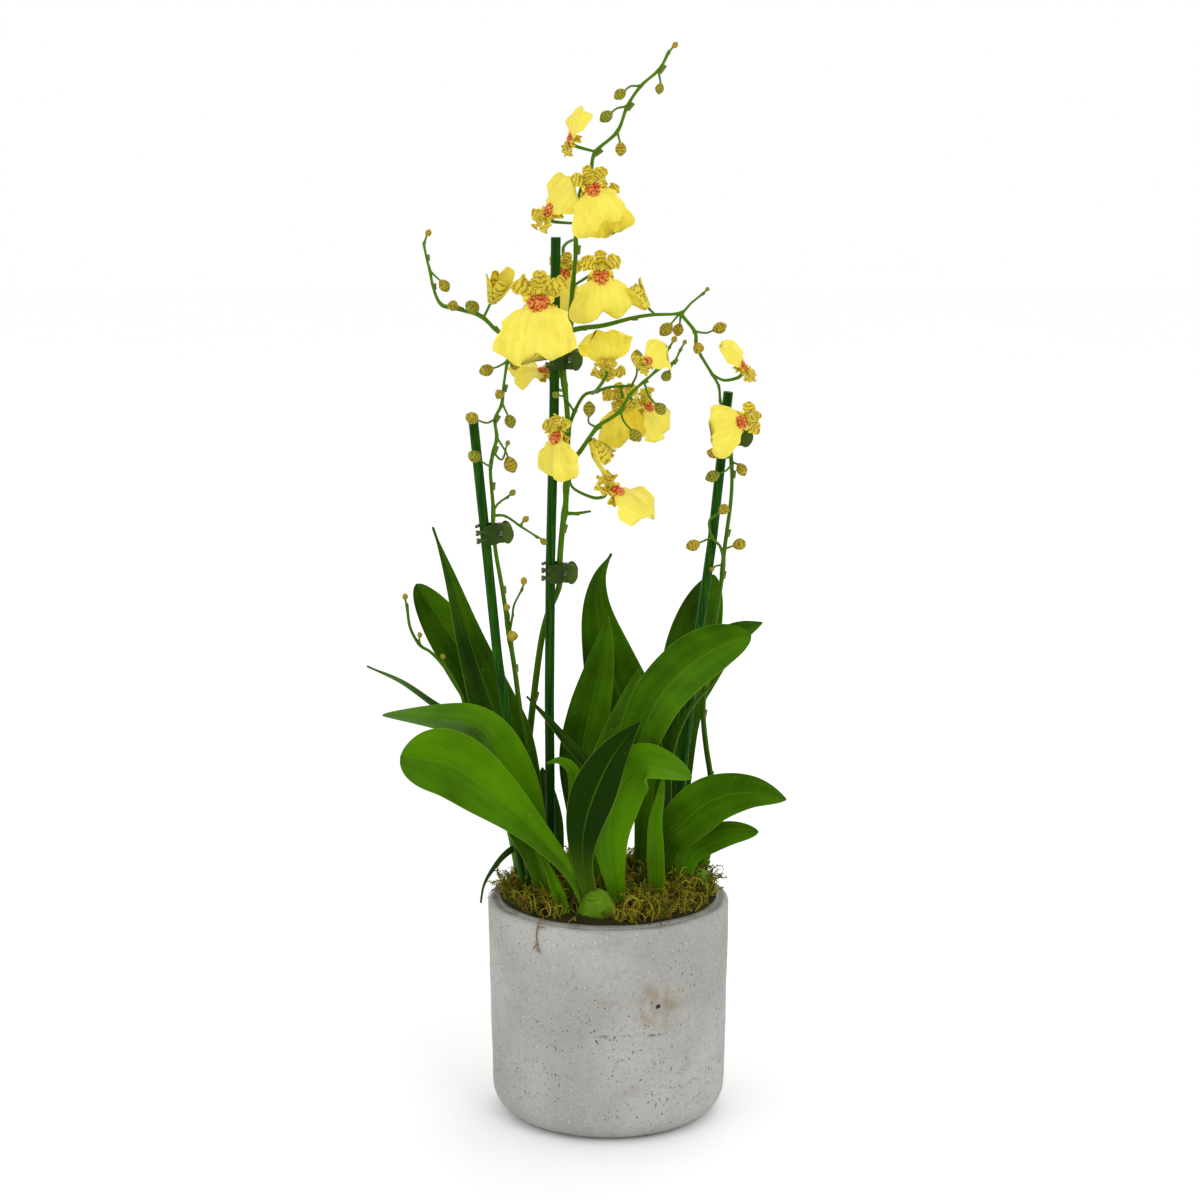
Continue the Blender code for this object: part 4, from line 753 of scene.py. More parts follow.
# %% The leaves' table
LEAVES = {
    "leaf_left_folded": (
        0.5, ((-38, -24, 140), (-46, -28, 176), (-58, -31, 213), (-70, -34, 243), (-83, -38, 258),
         (-106, -41, 263), (-138, -40, 265)),
        34, 0.5, 9, 0.22, 0.9, (0.2, -1, 0), (0, -0.22, 0.97)),
    "leaf_left_edge": (
        0.35, ((-57, 7, 140), (-63, 8, 177), (-76, 8, 224), (-92, 8, 247), (-111, 8, 261),
         (-130, 8, 275), (-151, 8, 285)),
        12, 0.55, 7, 0.3, 0.4, (0.9, 0.2, 0.4), (0.35, -0.35, 0.85)),
    "leaf_left_tall": (
        0.22, ((-36, 3, 138), (-46, 1, 178), (-60, 1, 223), (-74, 4, 264), (-87, 8, 302),
         (-98, 10, 339), (-109, 10, 373)),
        36, 0.48, 9, 0.25, -0.2, (0.2, -1, 0), (0.6, -0.8, 0.2)),
    "leaf_left_back": (
        0.22, ((-34, 44, 137), (-45, 41, 187), (-66, 36, 240), (-86, 34, 277), (-104, 32, 306),
         (-121, 30, 333)),
        31, 0.7, 9, 0.2, 1, (0, -1, 0.1), (-0.1, -1, 0.2)),
    "leaf_centre_tall": (
        0.3, ((28, 30, 141), (24, 33, 192), (13, 35, 241), (1, 35, 280), (-7, 33, 313), (-6, 31, 336),
         (2, 28, 353)),
        42, 0.56, 10, 0.2, 0, (0.1, -1, 0), (0.1, -1, 0.1)),
    "leaf_centre_mid": (
        0.36, ((-16, 19, 141), (-17, 18, 190), (-17, 17, 222), (-12, 17, 253), (-5, 16, 284),
         (0, 14, 315)),
        29, 0.55, 9, 0.2, 0.5, (-0.1, -1, 0), (-0.2, -1, 0.1)),
    "leaf_centre_slim": (
        0.55, ((-9, -12, 141), (-12, -12, 188), (-7, -12, 220), (3, -12, 246), (12, -12, 268),
         (20, -12, 289)),
        16, 0.66, 7, 0.25, 0.6, (0.2, -1, 0), (0.3, -1, 0.1)),
    "leaf_right_high": (
        0.36, ((0, -28, 141), (2, -30, 186), (9, -33, 222), (21, -37, 255), (32, -41, 278),
         (49, -45, 297), (67, -47, 309), (86, -47, 316)),
        35, 0.82, 9, 0.25, 0.9, (-0.1, -1, 0), (-0.3, -0.8, 0.6)),
    "leaf_front_curl": (
        0.72, ((7, -38, 139), (2, -41, 172), (1, -44, 197), (8, -48, 223), (21, -53, 237),
         (35, -60, 237), (50, -66, 232)),
        31, 0.6, 9, 0.2, 0.9, (0, -1, 0), (0.5, -0.7, 0.7)),
    "leaf_front_strap": (
        0.66, ((30, -24, 141), (29, -26, 176), (29, -27, 195), (32, -28, 211), (34, -28, 226)),
        11, 0.4, 8, 0.25, 0.5, (0, -1, 0), (0.1, -1, 0.1)),
    "leaf_right_broad": (
        0.42, ((33, -3, 141), (35, -11, 174), (46, -17, 190), (64, -21, 206), (87, -24, 212),
         (110, -26, 208)),
        31, 0.6, 8, 0.25, 0.6, (0.1, -1, 0.1), (-0.1, -0.9, 0.6)),
    "leaf_right_low": (
        0.5, ((46, -12, 141), (49, -4, 162), (57, -1, 172), (75, -4, 180), (94, -7, 182)),
        18, 0.6, 7, 0.2, 0.9, (0.1, -1, 0), (0, -0.9, 0.5)),
    "leaf_right_sheath": (
        0.75, ((56, 14, 139), (59, 15, 156), (63, 17, 167), (67, 18, 181)),
        10, 0.4, 8, 0.35, 0.6, (0.2, -1, 0), (0.2, -1, 0.1)),
    "leaf_back_right": (
        0.24, ((43, 43, 139), (45, 44, 196), (45, 46, 241), (51, 48, 280), (59, 48, 311), (67, 46, 336)),
        34, 0.74, 8, 0.2, 0.9, (0.1, -1, 0), (0.1, -1, 0.1)),
    "leaf_back_far": (
        0.3, ((22, 54, 139), (28, 57, 192), (44, 60, 245), (63, 62, 277), (82, 62, 294), (99, 61, 302)),
        29, 0.7, 7, 0.2, 0.5, (0.1, -1, 0), (-0.1, -1, 0.4)),
    "leaf_right_blade": (
        0.35, ((39, 6, 141), (38, 5, 200), (40, 3, 231), (50, 2, 257), (66, 0, 277)),
        12, 0.5, 7, 0.3, 0.1, (-0.8, -0.5, 0), (-0.8, -0.3, 0.5)),
    "leaf_small_round": (
        0.6, ((19, 9, 141), (22, 12, 194), (25, 12, 224), (26, 12, 243)),
        12, 0.75, 6, 0.25, 1, (0, -1, 0), (0, -1, 0.2)),
    "leaf_left_short": (
        0.6, ((-23, -24, 141), (-20, -24, 198), (-21, -24, 223), (-29, -24, 232), (-38, -25, 231)),
        10, 0.7, 6, 0.25, 0.6, (0, -1, 0), (0, -0.8, 0.6)),
    "leaf_left_dark": (
        0.1, ((-1, 5, 141), (-5, 0, 201), (-14, -2, 224), (-27, -4, 240), (-39, -4, 255),
         (-51, -2, 268)),
        10, 0.6, 6, 0.25, 0.5, (0.5, -0.8, 0), (0.6, -0.4, 0.7)),
    "leaf_shade_broad": (
        0.3, ((-31, 31, 138), (-36, 31, 163), (-40, 31, 189), (-42, 30, 214)),
        19, 0.6, 8, 0.2, 0.6, (0, -1, 0), (0, -1, 0.1)),
    "leaf_strap_over_rim": (
        0.1, ((-53, -4, 139), (-54, -4, 162), (-58, -7, 171), (-65, -11, 168), (-73, -15, 159),
         (-78, -17, 150), (-80, -18, 139)),
        4.6, 0.5, 4, 0.2, 0.3, (0.5, -0.8, 0), (-0.6, -0.4, 0.7)),
    "leaf_front_sprout": (
        0.7, ((-26, -51, 138), (-31, -49, 154), (-37, -46, 169), (-43, -43, 180)),
        8, 0.45, 6, 0.3, 0.3, (0, -1, 0), (0.2, -1, 0.1)),
}
FRONT_GROWTH_LEAVES = {
    "low": (
        0.6, ((-14, -49, 147), (-18, -50, 158), (-27, -54, 174), (-48, -58, 199), (-72, -62, 222),
         (-97, -64, 240), (-126, -60, 244)),
        43, 0.82, 9, 0.2, 1, (0.5, -0.8, 0.4), (0.1, -1, 0.75)),
    # The upright leaf's tone is far below the rest, near black: painted shade in its folded inside.
    "upright": (
        -0.4, ((-8, -49, 147), (-12, -50, 158), (-16, -52, 180), (-13, -55, 206), (-3, -57, 233),
         (7, -56, 250), (19, -54, 264)),
        28, 0.6, 9, 0.5, 0.3, (-0.1, -1, 0), (-0.3, -1, 0.2)),
}
print("leaves:", len(LEAVES) + len(FRONT_GROWTH_LEAVES))

# %% A leaf's outline and its surface
ROOTED_TO = 127.0
FOOT_SLIMNESS = 1.5
LEAF_TIP = 0.9
ROW_CROWDING = 1.4
LEAF_ACROSS = 16
LEAF_ALONG = 52
SPINE_POINTS = 121


def eased(share):
    share = min(max(share, 0.0), 1.0)
    return share * share * (3 - 2 * share)


def leaf_half_width(v, widest, at, base, roundness):
    if v < at:
        return (base + (widest - base) * eased(v / at) ** FOOT_SLIMNESS) / 2
    beyond = (v - at) / (1 - at)
    kept = (1 - beyond ** (1.3 + 0.9 * roundness)) ** (1.05 - 0.5 * roundness)
    return max(widest / 2 * kept, LEAF_TIP * (0.4 if beyond > 0.999 else 1))


def leaf_place(route, widest, at, base, channel, roundness, faces_base, faces_tip, phase):
    """The function that gives the middle of a leaf, waved a little along its edges."""
    spine = curve_through(route, SPINE_POINTS)

    def place(u, row):
        v = 1 - (1 - row) ** ROW_CROWDING
        centre, index = along_line(spine, v)
        way = (spine[min(index + 3, SPINE_POINTS - 1)] - spine[max(index - 2, 0)]).normalized()
        faces = Vector(faces_base).lerp(Vector(faces_tip), v)
        side = way.cross(faces).normalized()
        up = side.cross(way).normalized()
        half = leaf_half_width(v, widest, at, base, roundness)
        lift = channel * half * (1 - 0.5 * v) * abs(u) ** 1.5
        groove = 0.7 * math.exp(-(u * half / 1.5) ** 2) * min(1, half / 8)
        wave = 0.045 * half * math.sin(9 * v + phase + 1.3 * u) * abs(u) ** 3
        return centre + side * u * half + up * (lift + wave - groove)

    return place


def leaf_thickness(u, v):
    return (1.5 - 0.5 * v) * (0.3 + 0.7 * math.sqrt(max(1 - u * u, 0)))


# %% Make the leaves
def make_leaf(piece, node, leaf_tone_and_painted_shade, route, shape, phase):
    leaf_draft = Draft()
    add_sheet(leaf_draft, leaf_place(route, *shape, phase), LEAF_ACROSS, LEAF_ALONG, leaf_thickness,
              tone=leaf_tone_and_painted_shade)
    dress(leaf_draft.make(piece, leaf_surface), "leaf", node)


for number, (name, (leaf_tone_and_painted_shade, route, *shape)) in enumerate(LEAVES.items()):
    rooted = ((*route[0][:2], ROOTED_TO), *route)
    make_leaf(name.replace("leaf_", "blade_"), name, leaf_tone_and_painted_shade, rooted, shape, number * 1.7)

# %% [markdown]
# Leaves rise from pseudobulbs, swollen green stems at the level of the moss. They are balls with soft
# ridges and a paler collar where a leaf is joined on.

# %% Pseudobulbs
swollen = Finish("pseudobulb", roughness=0.5, specular_tint=(0.4, 0.7, 0.1, 1))
swollen_shade = swollen.smooth(swollen.grain(70, 3) + swollen.part(swollen.place, 2) * 8 - 1.2, 0.2, 0.8)
bulb_skin = swollen.paint(swollen.mix(swollen_shade, tint(64, 98, 10), tint(112, 148, 28)),
                          height=swollen.grain(260, 2), depth=0.0004)
BULBS = {
    "front": ((-7, -50, 140), (12, 9, 18)),
    "pseudobulb_centre": ((-17, 2, 144), (10, 7, 22)),
    "pseudobulb_right": ((58, 1, 139), (8, 6, 17)),
}


def ridged(turn, share):
    return 1 + 0.035 * math.cos(7 * turn) * math.sin(math.pi * share)


for name, (centre, half_sizes) in BULBS.items():
    bulb_draft = Draft()
    bulb_draft.rings(ball(centre, (0, 0, 1), half_sizes, 48, 26, ridged))
    if name == "front":
        collar = Vector(centre) + Vector((-0.6, -0.5, half_sizes[2] * 0.78))
        bulb_draft.rings(ball(collar, (0.1, -0.1, 1), (8.2, 6.2, 1.3), 40, 8))
        for number, (leaf_name, (leaf_tone_and_painted_shade, *leaf)) in enumerate(FRONT_GROWTH_LEAVES.items()):
            make_leaf(f"blade_front_{leaf_name}", "growth_front", leaf_tone_and_painted_shade, leaf[0], leaf[1:],
                      number * 2.3 + 0.4)
    dress(bulb_draft.make(f"bulb_{name.replace('pseudobulb_', '')}", bulb_skin), "pseudobulb",
          "growth_front" if name == "front" else name)

# %% [markdown]
# ## The canes
# Three straight green sticks hold the flower stems up. They have a dark, slightly streaked skin and a
# plain sawn top.

# %% Canes
dyed = Finish("cane", roughness=0.5, specular_ior_level=0.3, specular_tint=(0.2, 0.6, 0.1, 1))
streaks = dyed.grain(1, 3, dyed.stretched((900, 900, 18)))
dyed_shade = dyed.smooth(streaks, 0.3, 0.75)
cane_skin = dyed.paint(dyed.mix(dyed_shade, tint(6, 40, 2), tint(36, 84, 6)),
                       height=streaks, depth=0.00015)
sawn = Finish("sawn end", roughness=0.8)
sawn_end = sawn.paint(sawn.mix(sawn.grain(1500), tint(46, 92, 24), tint(80, 124, 44)))
CANE_RADIUS = 3.0
CANE_POINTS = 60
CANES = {
    "left": ((-29.5, -4.2, 16), (-47, -10, 142), (-60, -13.8, 236), (-68.2, -16, 294),
             (-75.1, -18, 370), (-82, -20, 444)),
    "middle": ((-36, 15, 16), (-36.6, 12, 142), (-37, 8, 263), (-36, 5.5, 353), (-33.5, 2, 441),
               (-32, 0, 552)),
    "right": ((28, 24.5, 16), (41, 20.5, 142), (48, 18, 226), (57, 14.5, 307), (64.4, 12, 364),
              (73.5, 10, 457)),
}
for name, route in CANES.items():
    cane_draft = Draft()
    legs = [Vector(point) for point in route]
    walked = np.cumsum([0.0] + [(b - a).length for a, b in zip(legs, legs[1:])])
    spots = [Vector([float(np.interp(d, walked, [leg[axis] for leg in legs])) for axis in range(3)])
             for d in np.linspace(0, walked[-1], CANE_POINTS)]
    radii = [CANE_RADIUS * (1 + 0.015 * noise.noise(spot / 15)) for spot in spots]
    cane_draft.rings(tube(spots, radii, 28))
    cane_draft.finishes[-1] = 1
    dress(cane_draft.make(f"stick_{name}", cane_skin, sawn_end, sharp=40), "cane", f"cane_{name}")

# %% Where the clips grip the canes
CLIPS = {  # cane, height, and where its tabs point
    "left": ("left", 373, (1, 0.1, 0)),
    "middle_low": ("middle", 345, (1, 0, 0)),
    "middle_high": ("middle", 478, (1, 0, 0)),
    "right": ("right", 430, (1, 0.45, 0)),
}
CLIP_REACH = 14.0


def cane_point(cane, height_here):
    legs = [Vector(point) for point in CANES[cane]]
    for foot, top in zip(legs, legs[1:]):
        if foot.z <= height_here <= top.z:
            return foot.lerp(top, (height_here - foot.z) / (top.z - foot.z)), (top - foot).normalized()
    raise ValueError("the clip is off its cane")


def clear_of_clips(spots):
    """Those spots that no clip would press on: nothing small stands inside a clip."""
    grips = [cane_point(cane, height_here)[0] for cane, height_here, _ in CLIPS.values()]
    return [spot for spot in spots if min((spot[0] - grip).length for grip in grips) > CLIP_REACH]


print("clips:", len(CLIPS))

# %% [markdown]
# ## The flower stems
# A stem runs up beside its cane and forks into wiry twigs. It thickens wherever a twig, a flower
# stalk or a bud leaves it, and a small papery scale sits under each of those joints. Buds and scales
# are the same few shapes again and again, so a second Geometry Nodes tree stands one template on many
# points, each with its own direction and size.

# %% Stem, scale and bud finishes
wiry = Finish("stem", roughness=0.5, specular_ior_level=0.3, specular_tint=(0.4, 0.7, 0.1, 1))
wiry_height = wiry.smooth(wiry.part(wiry.place, 2), 0.12, 0.5)
wiry_colour = wiry.mix(wiry_height, tint(28, 62, 0), tint(74, 116, 6))
wiry_colour = wiry.mix(wiry.smooth(wiry.grain(300, 3), 0.5, 0.8) * 0.35, wiry_colour, tint(46, 52, 8))
stem_skin = wiry.paint(wiry_colour, height=wiry.grain(1, 2, wiry.stretched((1500, 1500, 120))),
                       depth=0.00015)
papery = Finish("scale", roughness=0.8)
scale_skin = papery.paint(papery.mix(papery.grain(900), tint(64, 102, 10), tint(106, 104, 32)))
budding = Finish("bud", roughness=0.55, specular_ior_level=0.25)
bud_along = budding.across_and_along()[1]
bud_bars = (bud_along * 30 + budding.grain(500, 2) * 12).maths("SINE") * 0.5 + 0.5
bud_spots = budding.smooth(bud_bars + budding.grain(1100, 2) * 0.7, 0.75, 1.15)
bud_colour = budding.mix(budding.carried("tone"), tint(126, 142, 14), tint(184, 158, 24))
bud_colour = budding.mix(bud_spots * 0.7, bud_colour, tint(96, 60, 4))
bud_skin = budding.paint(bud_colour, height=bud_bars * -1, depth=0.0002)

# %% The tree that stands a template on points
def standing_tree():
    """Stands a template on every point, along the way and at the size that the point carries."""
    plan = Plan("Standing on points", Size="Float")
    way, size = (plan.add("GeometryNodeInputNamedAttribute", {"data_type": kind}, {"Name": key})
                 for key, kind in (("way", "FLOAT_VECTOR"), ("size", "FLOAT")))
    turned = plan.add("FunctionNodeAlignRotationToVector", {"axis": "Z"}, {"Vector": way})
    return plan.stand(plan.given["Geometry"], turned, size * plan.given["Size"])


def stood(name, spots, tree, template, **inputs):
    """One plain mesh with the template at each (point, way, size, tone)."""
    cloud_mesh = bpy.data.meshes.new(name)
    cloud_mesh.from_pydata([spot[0] * MM for spot in spots], [], [])
    cloud_mesh.attributes.new("way", "FLOAT_VECTOR", "POINT").data.foreach_set(
        "vector", [part for spot in spots for part in spot[1]])
    for key, index in (("size", 2), ("tone", 3)):
        cloud_mesh.attributes.new(key, "FLOAT", "POINT").data.foreach_set(
            "value", [spot[index] for spot in spots])
    surface = bpy.data.objects.new(name + "_points", cloud_mesh)
    made = grown(name, surface, tree, template, **inputs)
    bpy.data.objects.remove(surface)
    made.data.shade_smooth()
    return made


standing = standing_tree()

# %% Templates: a ribbed bud with a drawn out tip, and a scale
BUD_ROWS = 12
BUD_SIDES = 18
BUD_GIRTH = 0.74


def bud_rings():
    """A bud of half length 1, its foot below the origin and its tip above."""
    girth = profile((0, 0.12), (0.08, 0.42), (0.3, 0.86), (0.5, 1.0), (0.7, 0.9), (0.88, 0.52), (1, 0.1))
    rings = []
    for row in range(BUD_ROWS + 1):
        share = row / BUD_ROWS
        ring = []
        for step in range(BUD_SIDES):
            turn = math.tau * step / BUD_SIDES + 0.5 * share
            reach = BUD_GIRTH * girth(share) * (1 + 0.07 * math.cos(3 * turn) + 0.03 * math.cos(6 * turn))
            ring.append((math.cos(turn) * reach, math.sin(turn) * reach, -1 + 2 * share))
        rings.append(ring)
    return rings


bud_draft = Draft()
bud_draft.rings(bud_rings())
bud = bud_draft.make("bud", tones=False)


def scale_place(u, v):
    half = 0.8 * (1 - v) ** 0.7 + 0.06
    turn = u * 1.25
    return math.cos(turn) * (1.0 + 0.25 * v) - 0.05, math.sin(turn) * half, -0.7 + 2.2 * v


scale_draft = Draft()
add_sheet(scale_draft, scale_place, 6, 6, lambda u, v: 0.22)
scale = scale_draft.make("scale", tones=False)

# %% The sprays' tables. All the open and opening flowers are on the tall spray.
SPRAYS = {  # each stem's route, and its radius at the foot and at the tip
    "spray_tall": (
        (((-51, 18, 127), (-52, 18, 176), (-51, 18, 222), (-47, 17, 263), (-42, 15, 300),
          (-37.5, 14.5, 318), (-32.5, 12, 330), (-30.4, 7, 338), (-30.2, 6, 352), (-28.6, 4.5, 372),
          (-26.5, 1, 388), (-26, 0, 402), (-25, 2, 438), (-27.2, 2.4, 466), (-27.2, 2, 487),
          (-24.5, 4.5, 498), (-22, 8, 520), (-20, 6, 543), (-20, 5, 564), (-17, 8, 580),
          (-11, 8, 592), (-8, 4, 603), (5, 0, 615), (11, -2, 630), (19, -4, 642), (30, -6, 652),
          (36, -8, 663)), 2.6, 0.8),
        (((-26, 3, 462), (-30, 12.5, 471), (-38, 13.5, 481), (-48, 8, 487), (-60, 2, 491), (-68, -4, 496),
          (-77, -8, 505), (-89, -10, 509), (-101, -8, 512), (-106, -6, 522), (-108, -4, 532),
          (-110, -2, 539), (-112, 0, 549)), 1.8, 0.7),
        (((-24, 5, 494), (-16, 2, 497), (-3, -2, 499), (15, -6, 504), (27, -8, 506), (43, -8, 507),
          (50, -6, 513), (58, -2, 519)), 1.7, 0.6),
        (((43, -8, 507), (52, -8, 496), (53, -8, 488), (56, -6, 481), (62, -4, 471), (67, 0, 462),
          (68, -4, 453)), 1.1, 0.8),
        (((-26, 0, 399), (-23, -8, 415), (-17, -14, 424), (-7, -20, 439), (1, -24, 445),
          (7, -26, 450), (13, -28, 460), (21, -30, 468), (31, -30, 476), (39, -30, 480),
          (43, -26, 487)), 1.7, 0.6),
        (((-24, 2, 434), (-21, 6, 445), (-15, 9, 455), (-8, 10, 457), (0, 8, 460), (7, 4, 461),
          (14, 0, 462)), 1.2, 0.8),
        (((-26, 0, 382), (-20, 0, 383), (-11, 2, 384)), 1.3, 0.7),
        (((21, -30, 468), (26, -34, 473), (31, -38, 480), (36, -40, 490)), 0.9, 0.6),
    ),
    "spray_left": (
        (((-40, -4, 127), (-46, -4, 202), (-54, -8, 254), (-58, -11, 287), (-61, -13, 308),
          (-65, -14.6, 337), (-68.9, -17, 361), (-70.4, -17.6, 378), (-70.4, -15.5, 389),
          (-71.5, -12, 401), (-72, -13, 413),
          (-70, -14, 424), (-68, -14, 432), (-69, -13, 443), (-65, -12, 452), (-64, -11, 461),
          (-62, -10, 475), (-61, -10, 480)), 2.2, 0.8),
        (((-69.3, -15, 384), (-63, -16, 384), (-54, -17, 378), (-43, -18, 371)), 0.9, 0.6),
        (((-69.5, -15, 387), (-67, -15, 392), (-61, -15, 396)), 0.8, 0.6),
        (((-61, -13, 310), (-59, -17, 322), (-58, -18, 329), (-53, -18, 339)), 0.9, 0.6),
    ),
    "spray_right": (
        (((56, 26, 127), (63, 28, 160), (65, 28, 193), (65, 27, 209), (62, 26, 229), (60, 25, 250),
          (61, 24, 269), (65, 23, 298), (69, 22, 324), (71, 20, 340), (72, 19, 354), (73.5, 18, 367),
          (76, 17.5, 388), (76.5, 16.5, 404), (75.5, 14.5, 420), (75.2, 13.4, 430), (76, 13.5, 440)),
         2.2, 1.0),
        (((71, 20, 343), (71, 14, 354), (69, 10, 361), (64, 6, 367), (62, 5, 377), (66, 5, 381)),
         1.0, 0.7),
    ),
    "spray_young": (
        (((-48, -17, 127), (-54, -19, 156), (-64, -18, 204), (-78, -14, 236), (-88, -14, 261),
          (-91, -12, 271), (-99, -8, 285), (-110, -3, 296), (-117, 0, 300), (-123, 0, 311),
          (-125, 0, 326)), 1.6, 0.9),
    ),
}
BUDS = {  # where the stalk starts, bends and ends, and half the bud's length
    "spray_tall": (
        ((5, 0, 615), (7, -1, 612), (7, -2, 608), 4.6),
        ((11, -2, 630), (5, -3, 629), (1, -4, 626), 4.8),
        ((19, -4, 642), (13, -5, 642), (9, -6, 639), 4.4),
        ((30, -6, 651), (32, -6, 647), (31, -6, 643), 3.6),
        ((35, -8, 661), (37, -8, 664), (38, -8, 665), 2.4),
        ((-108, -4, 532), (-104, -7, 530), (-101, -9, 526), 4.6),
        ((-101, -8, 511), (-98, -11, 512), (-96, -13, 512), 4.4),
        ((-77, -8, 505), (-78, -11, 507), (-80, -13, 509), 5.6),
        ((-112, 0, 548), (-111, 1, 551), (-110, 2, 553), 2.6),
        ((43, -8, 507), (40, -10, 503), (37, -11, 500), 5.2),
        ((43, -8, 506), (44, -5, 503), (43, -3, 499), 4.6),
        ((52, -8, 496), (59, -8, 495), (64, -8, 497), 4.8),
        ((54, -7, 490), (54, -10, 489), (54, -12, 488), 4.6),
        ((57, -3, 518), (58, -2, 519), (59, -1, 520), 1.8),
        ((-7, -20, 439), (-12, -22, 442), (-12, -22, 447), 5.0),
        ((14, 0, 462), (17, -2, 469), (17, -2, 476), 5.0),
        ((22, -30, 467), (24, -26, 459), (29, -23, 453), 4.8),
        ((39, -30, 479), (38, -28, 476), (36, -26, 473), 4.2),
        ((7, -26, 450), (9, -29, 444), (14, -29, 438), 4.8),
        ((-21, 6, 445), (-27, -2, 455), (-31, -8, 457), 3.0),
        ((36, -40, 489), (37, -40, 491), (38, -40, 493), 2.4),
        ((43, -26, 486), (44, -25, 488), (45, -24, 490), 1.8),
    ),
    "spray_left": (
        ((-62, -10, 476), (-57, -8, 483), (-57, -6, 479), 4.8),
        ((-62, -10, 478), (-67, -12, 475), (-71, -14, 474), 5.0),
        ((-64, -11, 458), (-66, -14, 459), (-66, -16, 459), 4.0),
        ((-65, -12, 453), (-62, -10, 447), (-61, -9, 444), 4.8),
        ((-69, -13, 443), (-74, -22, 442), (-80, -28, 445), 5.0),
        ((-72, -13, 416), (-73, -22, 416), (-79, -28, 421), 5.0),
        ((-68, -14, 432), (-63, -14, 424), (-61, -14, 419), 5.6),
        ((-70, -14, 423), (-65, -12, 418), (-62, -12, 427), 2.0),
        ((-54, -17, 378), (-53, -17, 380), (-52, -17, 381), 2.6),
        ((-44, -18, 372), (-42, -18, 371), (-41, -18, 370), 2.8),
        ((-62, -15, 395), (-61, -15, 396), (-60, -15, 397), 2.6),
        ((-61, -13, 316), (-61, -19, 322), (-62, -22, 327), 2.8),
        ((-53, -18, 338), (-52, -18, 340), (-52, -18, 342), 2.8),
        ((-61, -12, 306), (-59, -17, 308), (-59, -19, 309), 4.6),
    ),
    "spray_right": (
        ((76, 15, 418), (73, 3, 417), (67, 2, 419), 4.4),
        ((76, 16, 411), (72, 3, 409), (67, 2, 407), 5.0),
        ((76, 16, 413), (80, 14, 413), (81, 13, 411), 4.6),
        ((64, 6, 367), (59, 3, 365), (55, 1, 364), 5.0),
        ((70, 12, 358), (75, 8, 361), (78, 6, 362), 5.0),
        ((71, 19, 347), (67, 12, 348), (65, 9, 347), 2.2),
        ((65, 4, 380), (67, 2, 382), (69, 0, 384), 4.4),
    ),
    "spray_young": (
        ((-125, 0, 325), (-126, 0, 327), (-126, 0, 329), 2.4),
        ((-118, 0, 301), (-117, -2, 304), (-117, -3, 306), 2.2),
        ((-102, -3, 288), (-101, -5, 291), (-102, -6, 293), 2.2),
    ),
}
BLOOMS = {  # centre, where it looks, where its lip hangs, size, and the route of its stalk
    "bloom_top": ((-22, 6, 607), (-0.85, -0.3, 0.3), (0.4, 0, 0.9), 0.72, ((-8, 4, 603),)),
    "bloom_upper_front": ((-11, -14, 585), (0.1, -1, 0.15), (0.3, -0.25, -0.9), 0.9, ((-11, 8, 592),)),
    "bloom_upper_side": ((-37, 0, 564), (-0.6, -0.6, 0.45), (0.7, -0.05, 0.72), 0.85, ((-20, 6, 560),)),
    "bloom_upper_back": ((-3, 30, 575), (0.3, 0.9, 0.1), (0.2, 0.1, -0.95), 0.8,
        ((-20, 5, 558), (-14, 12, 562))),
    "bloom_heart": ((-5, -16, 534), (0.1, -1, 0.1), (0.05, -0.15, -1), 0.98, ((-22, 8, 522),)),
    "bloom_behind_cane": ((-27, 30, 531), (-0.1, -1, 0.1), (-0.3, -0.1, -1), 0.85,
        ((-20, 6, 546), (-21, 22, 549), (-28, 40, 543))),
    "bloom_largest": ((-41, -36, 519), (-0.1, -0.85, 0.45), (-0.05, -0.5, -0.85), 1.28,
        ((-48, 7, 487), (-45, -8, 496))),
    "bloom_below_clip": ((-36, 22, 467), (-0.1, -0.4, 0.9), (-0.97, -0.1, -0.2), 0.8,
        ((-26, 2, 460), (-30, 18, 457))),
    "bloom_turned": ((-1, -22, 474), (0.1, 0.75, 0.45), (0, 0.35, 0.9), 0.85,
        ((-8, 10, 457), (-10, -8, 458), (-6, -26, 464))),
    "bloom_twig": ((20, -54, 481), (0.3, -0.7, 0.6), (0.6, -0.3, 0.6), 0.6, ((31, -38, 480),)),
    "bloom_hanging": ((8, 20, 452), (-0.1, 0.9, -0.3), (0.15, -0.1, -0.95), 0.9, ((7, 4, 461),)),
    "bloom_right_lip": ((21, -9, 453), (0.65, -0.6, 0.2), (0.6, 0, -0.8), 0.75,
        ((13, -28, 460), (12, -16, 458))),
    "bloom_on_cane": ((-30, -16, 436), (-0.72, -0.66, 0.12), (0.15, -0.1, -1), 0.9, ((-25, 2, 436),)),
    "bloom_lowest": ((0, -22, 401), (0.5, -0.45, 0.7), (0.85, -0.1, -0.52), 0.95,
        ((-24, -5, 409), (-22, -12, 401), (-10, -19, 396))),
    "bloom_right_opening": ((82, -10, 471), (0.6, -0.3, 0.5), (-0.5, 0, 0.85), 0.7,
        ((63, -3, 469), (70, -6, 466))),
    "bloom_right_cane": ((83, -14, 443), (0.3, -1, 0.1), (-0.95, 0, -0.3), 0.82,
        ((68, -4, 453), (71, -4, 447))),
}
OPENING = (  # the start and the end of the stalk, and the half sizes of the flower
    ((-76, -7, 504), (-70, -13, 516), (5.5, 4.5, 9)),
    ((28, -8, 506), (22, -8, 512), (5, 4.5, 8)),
    ((-12, -17, 433), (-9, -17, 429), (5.5, 5, 8)),
)
print("buds:", sum(len(buds) for buds in BUDS.values()), "blooms:", len(BLOOMS))

